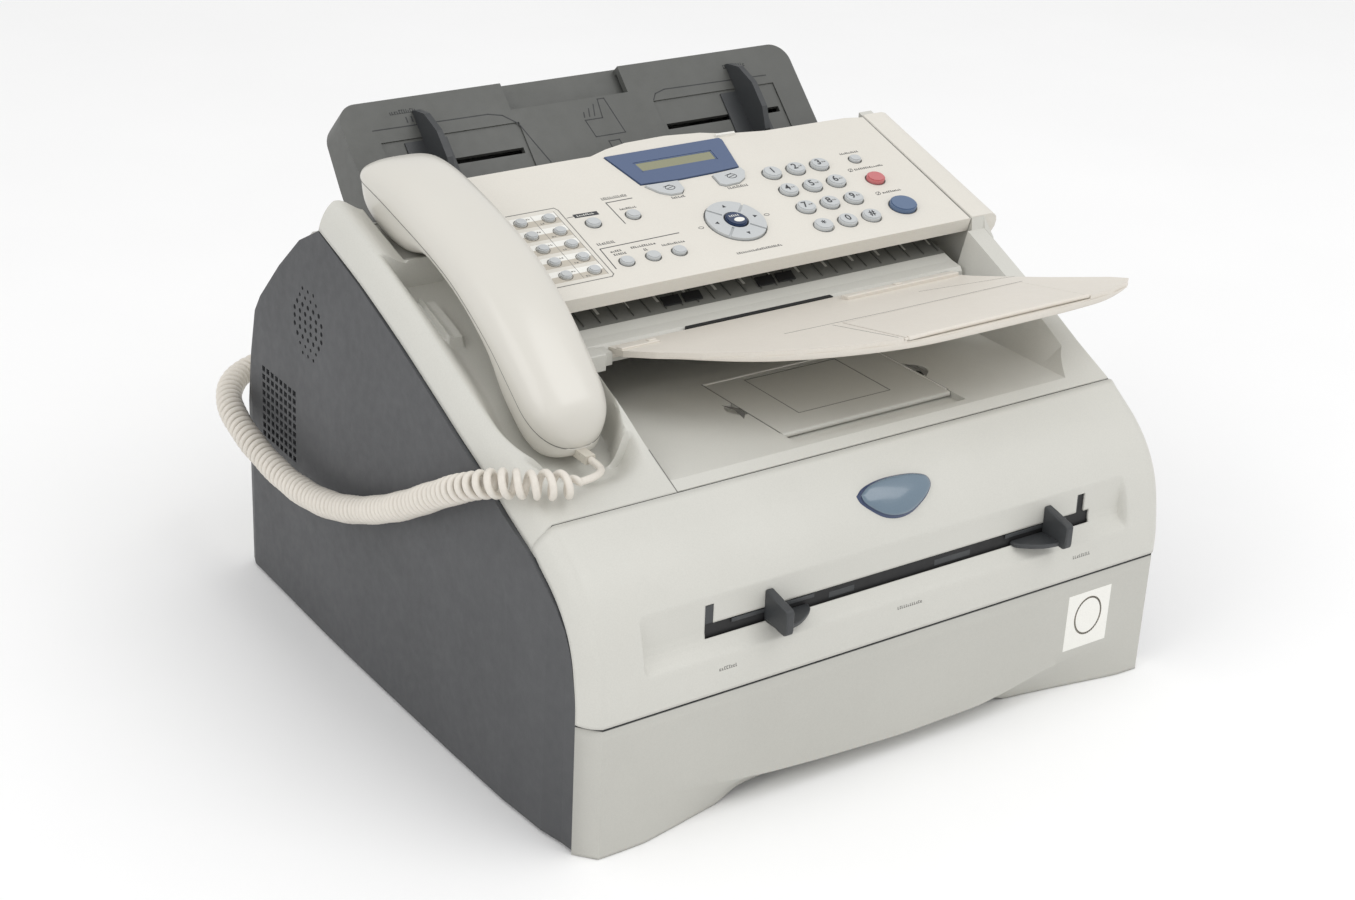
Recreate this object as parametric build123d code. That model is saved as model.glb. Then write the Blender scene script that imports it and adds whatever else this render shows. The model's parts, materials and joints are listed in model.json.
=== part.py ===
from build123d import *
import os
import math

# Desktop laser fax machine with a handset. Millimetres, +Z up, +X to the machine's right seen from the front,
# front towards -Y. Everything is laid out in working coordinates (front face near y = -187, table at z = 0)
# and moved at the end so that the origin is the bottom centre of the machine without its handset cord.

# ---------------------------------------------------------------- driving dimensions
HALF_W = 187.0            # half width over the side covers at the front
CORNER_W = 9.0            # width of the chamfered edge band
REAR_Y = 171.5            # rear face
FRONT_Y = -187.4          # front face of the cassette and front cover
SEAM_Z = 73.0             # lower edge of the front cover
CASS_TOP = 71.6           # upper edge of the paper cassette's front
WALL = 3.0                # moulding wall
PANEL_A = math.radians(16.9)   # slope of the control panel
PANEL_Y, PANEL_Z = -27.9, 217.1  # front upper edge of the panel
PANEL_LEN = 112.0         # panel depth along its slope
PANEL_X0, PANEL_X1 = -106.0, 168.2
PANEL_T = 3.0             # panel skin
PANEL_BAND = 8.6          # height of the panel's front band
FLOOR_Z = 161.5           # floor of the output recess
REC_X0, REC_X1 = -110.0, 152.0   # output recess at its floor
REC_TOP_X = 166.0         # output recess, right wall at its top edge
KEY_TRAVEL = 1.2
HOLE_GAP = 0.35           # gap round each key
CORD_D = 15.0             # outer diameter of the curly cord
LEAD_D = 3.6              # diameter of the cord itself
HS_X0, HS_X1 = -160.0, -112.0    # handset width
TRAY_A = math.radians(45.0)      # lean of the document tray
TRAY_TOP = (133.0, 281.0)        # top front edge of the document tray (y, z)
GUIDE_IN_L, GUIDE_IN_R = -76.0, 101.0   # inner faces of the manual feed guides

HW_Y, HW_Z = -41.5, 189.5        # hinge of the document output support
HP_S, HP_H = 108.0, -5.0         # hinge of the control panel, in the panel's plane

SA, CA = math.sin(PANEL_A), math.cos(PANEL_A)
PP = Plane(origin=(0, PANEL_Y, PANEL_Z), x_dir=(1, 0, 0), z_dir=(0, -SA, CA))   # x across, y up the slope, z out of it
parts = {}


# ---------------------------------------------------------------- helpers
def block(x0, x1, y0, y1, z0, z1):
    return Pos((x0 + x1) / 2, (y0 + y1) / 2, (z0 + z1) / 2) * Box(x1 - x0, y1 - y0, z1 - z0)


def yz_wire(x, pts):
    return Wire.make_polygon([Vector(x, y, z) for y, z in pts], close=True)


def prism_x(pts, x0, x1):
    return extrude(Face(yz_wire(x0, pts)), amount=x1 - x0, dir=(1, 0, 0))


def prism_z(pts, z0, z1):
    w = Wire.make_polygon([Vector(x, y, z0) for x, y in pts], close=True)
    return extrude(Face(w), amount=z1 - z0, dir=(0, 0, 1))


def ruled(sections):
    """Ruled solid through wires with the same number of corners."""
    return Solid.make_loft(sections, ruled=True)


def lift(pts, dz=0.0, dy=0.0):
    return [(y + dy, z + dz) for y, z in pts]


def rounded(x0, x1, y0, y1, z0, z1, r):
    """Upright plate with rounded corners in plan."""
    s = Pos((x0 + x1) / 2, (y0 + y1) / 2, z0) * extrude(RectangleRounded(x1 - x0, y1 - y0, r), amount=z1 - z0)
    return s


def on_panel(shape):
    return PP * shape


def solids_of(shape):
    return list(shape.solids())


def rod_x(y, z, r, x0, x1):
    return Pos((x0 + x1) / 2, y, z) * Rot(0, 90, 0) * Cylinder(r, x1 - x0)


# ---------------------------------------------------------------- side profiles (y, z)
# upper shoulder line of the light housing, at |x| = 178
SH = [(79.0, 249.6), (33.0, 235.2), (-9.0, 218.8), (-29.0, 210.0), (-49.0, 201.0), (-69.0, 191.8),
      (-88.0, 183.6), (-113.0, 170.5), (-138.6, 158.5)]
DROP = 14.5               # the edge band falls this much over CORNER_W
# front cover, outer surface at |x| <= 178, and its side border at |x| = 187
FC = [(-139.2, 158.5), (-148.0, 153.0), (-160.0, 144.5), (-170.0, 134.5), (-177.5, 123.0), (-182.5, 110.0),
      (-185.6, 95.0), (-187.2, 82.0), (FRONT_Y, SEAM_Z)]
FS = [(-135.8, 147.4), (-143.0, 141.0), (-152.5, 134.5), (-160.5, 127.5), (-167.5, 118.5), (-172.5, 107.5),
      (-175.4, 94.0), (-177.0, 82.0), (-177.2, SEAM_Z)]
REAR = [(REAR_Y, 4.0), (REAR_Y, 103.0), (165.5, 130.0), (158.0, 163.0), (150.6, 174.0), (126.0, 200.0),
        (101.0, 222.5)]


def sh(y):
    for (ya, za), (yb, zb) in zip(SH, SH[1:]):
        if yb <= y <= ya:
            return zb + (za - zb) * (y - yb) / (ya - yb)
    return SH[0][1] if y > SH[0][0] else SH[-1][1]


def panel_z(y):
    return PANEL_Z + (y - PANEL_Y) * math.tan(PANEL_A)


# ---------------------------------------------------------------- chassis
chassis = block(-182.8, 182.8, -118.0, 154.0, 75.5, 79.0)              # deck over the cassette
for s in (-1, 1):
    xa, xb = sorted((s * 180.0, s * 182.8))
    chassis += block(xa, xb, -118.0, 154.0, 4.0, 139.0)                # side frames
    xa, xb = sorted((s * 168.0, s * 182.8))
    chassis += block(xa, xb, -118.0, 154.0, 4.0, 7.0)                  # foot rails
    xa, xb = sorted((s * 176.6, s * 182.8))
    chassis += block(xa, xb, -118.0, 154.0, 72.6, 75.6)                # upper cassette runners
chassis += block(-182.8, 182.8, 151.0, 154.0, 4.0, 139.0)              # rear cross wall
chassis += block(-182.8, 182.8, 40.0, 43.0, 79.0, 139.0)               # cross wall behind the drum
PR_Y, PR_Z = -110.0, 62.6                                              # pickup roller
for s in (-1, 1):
    chassis += block(*sorted((s * 46.0, s * 51.0)), PR_Y - 6.0, PR_Y + 6.0, PR_Z - 5.6, 75.6) - rod_x(PR_Y, PR_Z, 3.06, -60.0, 60.0)
# arms that carry the front cover's hinge pins
HC_Y, HC_Z = -184.5, 76.0
for s in (-1, 1):
    chassis += block(*sorted((s * 168.0, s * 171.5)), -184.0, -116.0, 76.4, 79.0)
    chassis += rod_x(HC_Y, HC_Z, 1.2, *sorted((s * 168.0, s * 177.4)))
for x in (-120.0, 120.0):
    chassis += block(x - 8, x + 8, 136.0, 148.0, 79.0, 84.0)           # board posts
parts["base_chassis"] = chassis

# ---------------------------------------------------------------- side covers
SIDE = [(REAR_Y, 2.0), (REAR_Y, 103.0), (165.5, 130.0), (158.0, 163.0), (150.6, 174.0), (126.0, 200.0),
        (101.0, 222.5), (79.0, 234.6)]
SIDE += [(y, z - DROP - 0.9) for y, z in SH[1:-1]] + [(-134.2, 146.2)]
SIDE += [(y + 0.9, z - 0.6) for y, z in FS[1:-1]] + [(-176.4, SEAM_Z), (-176.6, 2.0)]
PLAN0 = [(187.6, REAR_Y + 1), (190.5, 164.0), (193.0, 69.0), (193.4, 40.0), (193.4, -18.0), (193.2, -71.0),
         (192.4, -120.0), (190.0, -154.0), (187.0, -168.0), (186.0, -178.0)]
PLAN1 = [(187.0, REAR_Y + 1), (187.0, 164.0), (187.0, 69.0), (187.0, 40.0), (187.0, -18.0), (187.0, -71.0),
         (187.0, -120.0), (187.0, -154.0), (187.0, -168.0), (187.0, -178.0)]


def bulge(s, inner, inset):
    """Side volume from x = inner out to the drafted, slightly bowed outer face, less inset."""
    ws = []
    for z, plan in ((0.0, PLAN0), (250.0, PLAN1)):
        pts = [(s * (x - inset), y) for x, y in plan]
        pts = [(s * inner, REAR_Y + 1)] + pts + [(s * inner, -178.0)]
        ws.append(Wire.make_polygon([Vector(x, y, z) for x, y in pts], close=True))
    return ruled(ws)


def side_cover(s):
    xa, xb = sorted((s * 183.6, s * 196.0))
    cover = prism_x(SIDE, xa, xb) & bulge(s, 183.6, 0.0)
    cy, cz = 10.0, 95.0
    inset = [(cy + (y - cy) * 0.972, cz + (z - cz) * 0.965) for y, z in SIDE]
    xa, xb = sorted((s * 183.0, s * 196.0))
    cover -= prism_x(inset, xa, xb) & bulge(s, 183.0, 2.4)
    return cover


left_cover = mirror(side_cover(1), about=Plane.YZ)
# speaker outlet: rows of round holes in a lozenge
cuts = []
for row in range(9):
    zc = 160.0 + row * 4.6
    n = (3, 4, 5, 6, 6, 6, 5, 4, 3)[row]
    for i in range(n):
        yc = 91.0 + (i - (n - 1) / 2) * 6.4
        cuts.append(Pos(-196.0, yc, zc) * Rot(0, 90, 0) * extrude(RegularPolygon(1.4 if 2 <= row <= 6 else 1.05, 12), amount=16))
# ventilation grille: columns of square holes
for c in range(8):
    for r in range(9):
        cuts.append(Pos(-188.0, 108.5 + c * 5.6, 92.5 + r * 4.9) * Box(16, 3.7, 3.2))
left_cover = left_cover - cuts
parts["left_side_cover"] = left_cover
parts["right_side_cover"] = side_cover(1)

# ---------------------------------------------------------------- rear cover
RC = REAR + [(93.4, 229.0)]
rear_in = [(91.4, 226.0), (99.2, 219.4), (124.0, 197.2), (148.2, 171.6), (155.2, 161.6), (162.6, 129.4),
           (168.5, 102.8), (168.5, 4.0)]
rear = prism_x(RC + rear_in, -183.2, 183.2)
for x0 in (-60.0, 10.0):                                                # exhaust slots
    for i in range(6):
        rear -= block(x0 + i * 9.0, x0 + i * 9.0 + 5.0, 160.0, 180.0, 40.0, 88.0)
JACK_X, JACK_Z = -136.0, 108.0
jack_face = 167.0
rear -= block(JACK_X - 7.0, JACK_X + 7.0, 160.0, 180.0, JACK_Z - 5.5, JACK_Z + 5.5)
# jack blocks behind the rear face: handset, line and external telephone sockets
jacks = block(JACK_X - 7.0, JACK_X + 7.0, 166.8, 171.0, JACK_Z - 5.5, JACK_Z + 5.5)
jacks -= block(JACK_X - 4.2, JACK_X + 4.2, 167.6, 180.0, JACK_Z - 3.7, JACK_Z + 3.7)
rear += jacks
for x in (-108.0, -88.0):
    rear -= block(x - 7.0, x + 7.0, 160.0, 180.0, JACK_Z - 6.5, JACK_Z + 6.5)
    b = block(x - 7.0, x + 7.0, 155.0, 171.0, JACK_Z - 6.5, JACK_Z + 6.5)
    b -= block(x - 5.2, x + 5.2, 157.0, 180.0, JACK_Z - 4.2, JACK_Z + 4.2)
    rear += b
# shelves beside the document tray, up to the top cover and the cradle
for s in (-1, 1):
    rear += prism_x([(101.0, 222.5), (93.4, 229.0), (79.6, 233.0), (79.6, 229.6), (92.4, 225.6), (99.6, 219.2)],
                    *sorted((s * 150.4, s * 183.2)))
# mains inlet
rear -= block(120.0, 150.0, 160.0, 180.0, 18.0, 42.0)
inlet = block(120.0, 150.0, 154.6, 171.0, 18.0, 42.0) - block(123.0, 147.0, 157.0, 180.0, 21.0, 39.0)
for dx, dz in ((-7.0, -2.5), (0.0, 3.0), (7.0, -2.5)):
    inlet += block(135.0 + dx - 1.0, 135.0 + dx + 1.0, 156.8, 163.0, 30.0 + dz - 3.0, 30.0 + dz + 3.0)
rear += inlet
parts["rear_cover"] = rear

# ---------------------------------------------------------------- top cover with the output recess
top_poly = lift(SH[3:]) + [(-138.6, 150.0), (-29.0, 150.0)]
top = prism_x(top_poly, REC_X0, 178.0)
# right shoulder behind the recess, ending in the panel's plane
cap_poly = [(79.0, panel_z(79.0)), (PANEL_Y, PANEL_Z), (-29.0, 210.0), (-29.0, 150.0), (79.0, 150.0)]
top += prism_x(cap_poly, 168.8, 178.0)


def band(s, y_pts, thick=3.2):
    """Chamfered edge band that falls from the shoulder line to the side cover's top edge."""
    up = [(y, z) for y, z in y_pts]
    dn = [(y, z - thick) for y, z in reversed(y_pts)]
    up2 = [(y + (3.6 if i == len(y_pts) - 1 else 0.0), z - DROP + (0.0 if i < len(y_pts) - 1 else 3.6))
           for i, (y, z) in enumerate(y_pts)]
    dn2 = [(y, z - 0.5) for y, z in reversed(up2)]
    return ruled([yz_wire(s * 177.9, up + dn), yz_wire(s * HALF_W, up2 + dn2)])


right_line = [(79.0, panel_z(79.0)), (PANEL_Y, PANEL_Z), (-29.6, 210.0)] + SH[4:]
top += band(1, right_line)
# output recess: floor, drafted right wall
rec = []
for y, top_x, zt in ((-160.0, 180.0, 178.0), (-128.0, 171.0, 178.0), (-113.0, 166.6, 171.1), (-88.0, 166.4, 184.2),
                     (-69.0, 166.3, 192.4), (-29.0, 166.0, 211.0), (0.0, 166.0, 224.0)):
    rec.append(Wire.make_polygon([Vector(REC_X0 - 6, y, FLOOR_Z), Vector(REC_X1, y, FLOOR_Z), Vector(top_x, y, zt),
                                  Vector(top_x, y, 260), Vector(REC_X0 - 6, y, 260)], close=True))
top -= ruled(rec)
top += block(-106.8, 168.8, -29.4, 30.0, 158.5, FLOOR_Z)                # floor behind, towards the rollers
# hollow underneath
top -= block(REC_X0 + 2.5, REC_X1 - 3.0, -136.0, 31.0, 140.0, 158.5)
inner = [(y, z - 3.4) for y, z in SH[3:-1]] + [(-135.5, 156.5), (-135.5, 140.0), (-28.0, 140.0), (-28.0, 206.5)]
top -= prism_x(inner, 170.2, 176.6)
in2 = [(y, z - 3.4 - 12.0) for y, z in SH[3:-1]] + [(-135.5, 146.0), (-135.5, 140.0), (-28.0, 140.0), (-28.0, 194.5)]
top -= ruled([yz_wire(176.5, inner), yz_wire(184.4, in2)])
cap_in = [(76.0, panel_z(76.0) - 3.2), (-26.0, panel_z(-26.0) - 3.2), (-28.1, 206.5), (-28.1, 140.0), (76.0, 140.0)]
top -= prism_x(cap_in, 171.4, 178.0)
# pocket for the swing-out support flap, its hinge trough and two finger notches
FL_X0, FL_X1, FL_Y0, FL_Y1 = -27.0, 85.0, -114.5, -45.0
top += block(FL_X0 - 6, FL_X1 + 6, -131.0, FL_Y1 + 5, 155.2, FLOOR_Z)
top -= block(FL_X0, FL_X1, FL_Y0 - 3.2, FL_Y1, 158.0, FLOOR_Z + 1)
top -= block(FL_X0, FL_X1, -127.5, FL_Y0 + 2.0, 158.0, FLOOR_Z + 1)
for x, y in ((FL_X0 - 0.5, -79.0), (FL_X1 + 0.5, -84.0)):
    top -= Pos(x, y, 162.4) * Sphere(8.0) & block(x - 9, x + 9, y - 9, y + 9, 158.2, 170)
parts["top_cover"] = top

# ---------------------------------------------------------------- support flap and its fold-out extension
HF_Y, HF_Z = FL_Y0, 160.0
flap = block(FL_X0 + 0.6, FL_X1 - 0.6, FL_Y0 + 0.2, FL_Y1 - 0.6, 158.6, 161.4)
flap += rod_x(HF_Y, HF_Z, 1.4, FL_X0 + 0.6, FL_X1 - 0.6)
EX_X0, EX_X1, EX_Y0, EX_Y1 = -3.0, 57.0, -98.0, -51.0
flap -= block(EX_X0 - 0.4, EX_X1 + 0.4, EX_Y0 - 0.4, EX_Y1 + 1.9, 157.0, 163.0)
parts["output_flap"] = flap
ext = block(EX_X0, EX_X1, EX_Y0, EX_Y1 - 0.2, 159.0, 161.4) + rod_x(EX_Y1, 160.2, 1.2, EX_X0, EX_X1)
parts["flap_extension"] = ext

# ---------------------------------------------------------------- handset
HS_YC = 0.0
PART = [(96.0, 258.5), (81.0, 255.8), (62.0, 252.0), (41.0, 247.0), (15.0, 240.5), (-11.0, 232.0), (-31.0, 222.0),
        (-50.0, 210.0), (-63.0, 199.5), (-75.0, 189.5), (-87.0, 179.5), (-97.0, 171.5)]
CROWN = [(93.0, 264.8), (79.5, 267.6), (60.0, 268.4), (37.0, 265.0), (10.0, 258.5), (-17.0, 249.5), (-38.5, 239.5),
         (-58.0, 227.0), (-72.0, 216.0), (-85.0, 204.5), (-96.0, 192.0), (-101.5, 178.5)]
BELLY = [(91.0, 246.0), (82.0, 236.5), (66.0, 229.0), (46.0, 227.5), (17.0, 234.2), (-8.5, 225.8), (-27.5, 216.0),
         (-44.5, 201.5), (-54.0, 185.0), (-66.0, 174.0), (-80.0, 165.0), (-95.0, 161.5)]
HS_C, HS_HW = (HS_X0 + HS_X1) / 2, (HS_X1 - HS_X0) / 2


def hs_section(x, line_a, line_b, ta, tb, grow=0.0):
    """Closed (y, z) outline between two long lines that shrink towards the handset's sides."""
    u = abs(x - HS_C) / (HS_HW + grow)
    f = 1.0 - 0.075 * u ** 3                        # rounded ends in plan
    pts = []
    for i in range(len(PART)):
        (py, pz), (ay, az) = PART[i], line_a[i]
        y, z = py + (ay - py) * ta, pz + (az - pz) * ta
        pts.append((y * f, z))
    for i in reversed(range(len(PART))):
        (py, pz), (by, bz) = PART[i], line_b[i]
        y, z = py + (by - py) * tb, pz + (bz - pz) * tb
        pts.append((y * f, z))
    return pts


def hs_loft(line, steps, ts, base=0.0):
    ws = []
    for x, t in zip(steps, ts):
        ws.append(yz_wire(x, hs_section(x, line, line, t, base)))
    return ruled(ws)


steps = [-160.0, -158.0, -153.0, -145.0, -136.0, -127.0, -119.0, -114.0, -112.0]
steps_l = [-157.6, -156.0, -152.0, -145.0, -136.0, -127.0, -120.0, -116.0, -114.4]
upper = hs_loft(CROWN, steps, [0.25, 0.55, 0.80, 0.95, 1.0, 0.95, 0.80, 0.55, 0.25], 0.012)
steps_i = [-157.4, -154.0, -145.0, -136.0, -127.0, -118.0, -114.6]
steps_j = [-155.0, -152.0, -145.0, -136.0, -127.0, -120.0, -117.0]
upper -= hs_loft([(y * 0.975, z - 2.6) for y, z in CROWN], steps_i, [0.35, 0.60, 0.88, 0.92, 0.88, 0.60, 0.35], 0.0)
lower = hs_loft(BELLY, steps_l, [0.70, 0.85, 0.95, 1.0, 1.0, 1.0, 0.95, 0.85, 0.70], 0.012)
lower -= hs_loft([(y * 0.975, z + 2.6) for y, z in BELLY], steps_j, [0.72, 0.84, 0.90, 0.90, 0.90, 0.84, 0.72], 0.0)
for i in range(-2, 3):                                                    # ear and mouth sound holes
    for j in range(-1, 2):
        lower -= Pos(HS_C + i * 5.0, 66.0 + j * 5.0, 228.0) * Cylinder(1.1, 10)
for i in range(-1, 2):
    lower -= Pos(HS_C + i * 5.0, -72.0, 170.0) * Cylinder(1.1, 14)
# recess in the end face for the cord plug
PLUG_Z = 168.5
PLUG_X = -136.0
lower -= block(HS_C - 3.4, HS_C + 3.4, -104.0, -90.0, PLUG_Z - 2.9, PLUG_Z + 2.9) & block(-200, 0, -104.0, -90.0, 0, 171.2)
parts["handset_upper"] = upper
parts["handset_lower"] = lower
GAP = [(98.0, 300.0), (95.0, 246.0), (85.0, 234.0), (66.0, 227.0), (44.0, 225.4), (16.0, 232.0), (-10.0, 223.4), (-29.5, 213.4),
       (-42.4, 198.0), (-50.4, 181.6), (-61.4, 169.2), (-79.0, 160.4), (-97.6, 158.6), (-104.4, 163.0), (-104.6, 300.0)]
hs_gap = prism_x(GAP, -159.2, -113.0)
wide = [(98.0, 300.0), (97.0, 256.0), (81.0, 253.4), (62.0, 249.6), (41.0, 244.6), (15.0, 238.0), (-11.0, 229.6), (-31.0, 219.6),
        (-48.0, 205.6), (-60.0, 192.6), (-70.0, 183.0), (-82.0, 171.6), (-94.0, 163.0), (-104.6, 168.0), (-104.6, 300.0)]
hs_gap += prism_x(wide, -161.6, -108.0)
hs_gap += block(-141.0, -131.0, -108.0, -88.0, 164.2, 300.0)            # room for the plug as the handset lifts

# ---------------------------------------------------------------- handset cradle
crad_poly = SH + [(-138.6, 148.0), (79.0, 150.0)]
cradle = prism_x(crad_poly, -178.0, -107.4)
cradle += band(-1, SH)
cradle -= block(-110.4, -100.0, -160.0, -28.6, 100.0, 300.0)
# drafted right wall beside the output recess
cradle -= hs_gap
# trough for the fingers beside and under the grip
TR = [(34.0, 262.0), (30.0, 224.0), (-9.0, 203.5), (-49.0, 187.0), (-62.0, 184.0), (-70.0, 215.0)]
cradle -= ruled([yz_wire(-176.5, lift(TR, 12.0)), yz_wire(-165.0, TR), yz_wire(-112.5, TR)])
# shallow channel where the cord leaves the handset
CH = [(-92.0, 200.0), (-94.0, 164.0), (-104.0, 163.5), (-118.0, 161.2), (-129.0, 158.6), (-136.0, 161.0), (-138.0, 185.0)]
cradle -= ruled([yz_wire(-172.0, lift(CH, 8.0)), yz_wire(-160.0, CH), yz_wire(-128.0, CH), yz_wire(-119.0, lift(CH, 9.0))])
# hollow underneath
und = [(76.0, 219.0), (36.0, 219.0), (28.0, 216.0), (-9.0, 199.0), (-45.0, 183.0), (-56.0, 170.0), (-70.0, 160.0),
       (-92.0, 156.0), (-135.6, 154.5), (-135.6, 140.0), (76.0, 140.0)]
cradle -= prism_x(und, -175.0, -113.4)
und2 = [(y, z - (6.0 if z > 141 else 0)) for y, z in und]
cradle -= prism_x([(76.0, 219.0), (33.0, 216.0), (-9.0, 200.0), (-49.0, 183.0), (-80.0, 172.0), (-113.0, 152.5),
                   (-135.6, 146.0), (-135.6, 140.0), (76.0, 140.0)], -184.4, -174.9)
# hole for the hook switch
HOOK = (-136.0, 52.0)
cradle -= Pos(HOOK[0], HOOK[1], 225.0) * Box(8.8, 8.8, 30.0)
cradle_solids = sorted(solids_of(cradle), key=lambda s: -s.volume)
parts["handset_cradle"] = cradle_solids[0]
hook = block(HOOK[0] - 4, HOOK[0] + 4, HOOK[1] - 4, HOOK[1] + 4, 217.0, 227.2)
parts["hook_switch"] = hook

# ---------------------------------------------------------------- front cover
t_in = 3.0


def inset_line(line, d):
    out = []
    for i, (y, z) in enumerate(line):
        a = line[max(i - 1, 0)]
        b = line[min(i + 1, len(line) - 1)]
        ty, tz = b[0] - a[0], b[1] - a[1]
        n = math.hypot(ty, tz)
        out.append((y - tz / n * d, z + ty / n * d))
    return out


FCI = [(min(y, -139.2), z) for y, z in inset_line(FC, t_in)]
front = prism_x(FC + list(reversed(FCI)), -178.0, 178.0)
for s in (-1, 1):
    thin = [(y + 0.45, z - 0.1) for y, z in FS]
    w1 = yz_wire(s * 177.9, FC + list(reversed(FCI)))
    w2 = yz_wire(s * HALF_W, FS + list(reversed(thin)))
    front += ruled([w1, w2])
    # stiffening return behind the corner
    xa, xb = sorted((s * 174.5, s * 178.0))
    ret = [(y, z) for y, z in FCI] + [(-168.0, SEAM_Z + 0.5), (-156.0, 120.0), (-139.6, 148.0)]
    front += prism_x(ret, xa, xb)
# manual feed recess
RX0, RX1, RZ0, RZ1, R_BACK = -156.0, 157.0, 92.8, 121.4, -178.6
pocket = Pos((RX0 + RX1) / 2, R_BACK - 15.0, (RZ0 + RZ1) / 2) * Rot(90, 0, 0) * extrude(
    RectangleRounded(RX1 - RX0, RZ1 - RZ0, 10.0), amount=15.0, both=True)
backing = Pos((RX0 + RX1) / 2, R_BACK + 1.5, (RZ0 + RZ1) / 2) * Rot(90, 0, 0) * extrude(
    RectangleRounded(RX1 - RX0 + 5, RZ1 - RZ0 + 5, 12.0), amount=1.5, both=True)
rim = Pos((RX0 + RX1) / 2, -180.5, (RZ0 + RZ1) / 2) * Rot(90, 0, 0) * extrude(
    RectangleRounded(RX1 - RX0 + 5, RZ1 - RZ0 + 5, 12.0), amount=4.9, both=True)
rim = rim & prism_x(FC + [(-150.0, SEAM_Z), (-130.0, 150.0)], -178.0, 178.0)
front += rim
front += backing
front -= pocket & block(-200, 200, -230, R_BACK, 0, 200)
# feed slot
SLX0, SLX1, SLZ0, SLZ1 = -118.0, 126.0, 99.6, 117.2
front -= block(SLX0, SLX1, -186.0, -170.0, SLZ0, SLZ1)
# hinge lugs
for s in (-1, 1):
    front += block(*sorted((s * 172.0, s * 177.8)), -186.0, -182.0, 73.6, 78.4)
    front -= rod_x(HC_Y, HC_Z, 1.26, *sorted((s * 171.0, s * 177.8)))
    front -= rod_x(HC_Y, HC_Z, 1.6, *sorted((s * 167.6, s * 172.0)))
parts["front_cover"] = front

# dark plate behind the slot: its lower lip shows in the slot
plate = block(SLX0 - 6.0, SLX1 + 6.0, -175.4, -173.4, 96.0, SLZ1 + 2)
plate -= block(SLX0 + 0.6, SLX1 - 0.6, -177.0, -172.0, 103.9, 106.8)      # the guides' tongues pass here
plate += block(SLX0 + 0.5, SLX1 - 0.5, -178.2, -173.4, 107.0, SLZ1 - 0.4)
plate += block(SLX0 + 6.0, SLX1 - 6.0, -174.6, -155.0, 101.6, 103.7)      # feed shelf inside the cover
parts["manual_feed_plate"] = plate


def feed_guide(inner, s):
    """Paper guide: a fin that stands out of the slot, on a foot that slides on the shelf."""
    xa, xb = sorted((inner, inner + s * 8.0))
    prof = [(-200.2, 96.5), (-200.2, 112.0), (-197.0, 115.6), (-186.0, 116.6), (-179.2, 116.6), (-179.2, 104.4), (-170.0, 104.4),
            (-170.0, 104.1), (-183.0, 104.1), (-190.0, 92.6), (-196.0, 92.6)]
    g = prism_x([(-200.2, 96.5), (-200.2, 112.0), (-197.0, 115.6), (-186.0, 116.6), (-179.2, 116.6), (-179.2, 97.5),
                 (-190.0, 92.4), (-197.0, 92.4)], xa, xb)
    xa, xb = sorted((inner - s * 20.0, inner + s * 20.0))
    g += block(xa, xb, -183.0, -179.2, 103.8, 106.2)                       # shoe in front of the lip
    g += block(*sorted((inner, inner + s * 8.0)), -179.4, -150.0, 104.2, 106.4)   # tongue through the slot
    return g


parts["manual_guide_left"] = feed_guide(GUIDE_IN_L, -1)
parts["manual_guide_right"] = feed_guide(GUIDE_IN_R, 1)

# badge: blank domed leaf on the front cover
BZ, BX = 140.5, 4.0
bp = Plane(origin=(BX, -164.6, 141.0), x_dir=(1, 0, 0), z_dir=(0, -math.sin(math.radians(46.5)), math.cos(math.radians(46.5))))
leaf = make_face([Spline([(-24, 3), (-12, 9.6), (0, 11), (12, 9.6), (24, 3)], tangents=[(1, 1.2), (1, -1.2)]),
                  Spline([(24, 3), (16, -6.5), (0, -11), (-16, -6.5), (-24, 3)], tangents=[(-0.6, -1), (-0.6, 1)])])
parts["badge"] = bp * extrude(leaf, amount=3.2)

# ---------------------------------------------------------------- paper cassette
CAS_F = [(-187.4, CASS_TOP), (-187.4, 4.0), (-184.4, 4.0), (-184.4, CASS_TOP)]
cass = prism_x(CAS_F, -178.0, 178.0)
for s in (-1, 1):
    cass += ruled([yz_wire(s * 177.9, CAS_F),
                   yz_wire(s * HALF_W, [(-177.2, CASS_TOP), (-177.2, 4.0), (-176.8, 4.0), (-176.8, CASS_TOP)])])
# body: floor, sides and rear wall
cass += block(-166.0, 166.0, -185.0, 148.0, 4.0, 7.0)
for s in (-1, 1):
    cass += block(*sorted((s * 163.0, s * 166.0)), -185.0, 148.0, 4.0, 66.0)
    cass += block(*sorted((s * 113.0, s * 115.5)), -165.0, 130.0, 6.0, 52.0)      # paper side walls
cass += block(-166.0, 166.0, 145.0, 148.0, 4.0, 50.0)
cass += rod_x(58.0, 11.0, 1.15, -113.2, -104.6) + rod_x(58.0, 11.0, 1.15, 104.6, 113.2)   # pins of the lifting plate
cass += block(-166.0, 166.0, -166.0, -163.5, 4.0, 56.0)
# feet at the front corners reach the table
for x0, x1 in ((-177.6, -84.0), (76.0, 177.6)):
    cass += block(x0, x1, -184.6, -150.0, 0.4, 5.0)
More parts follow.
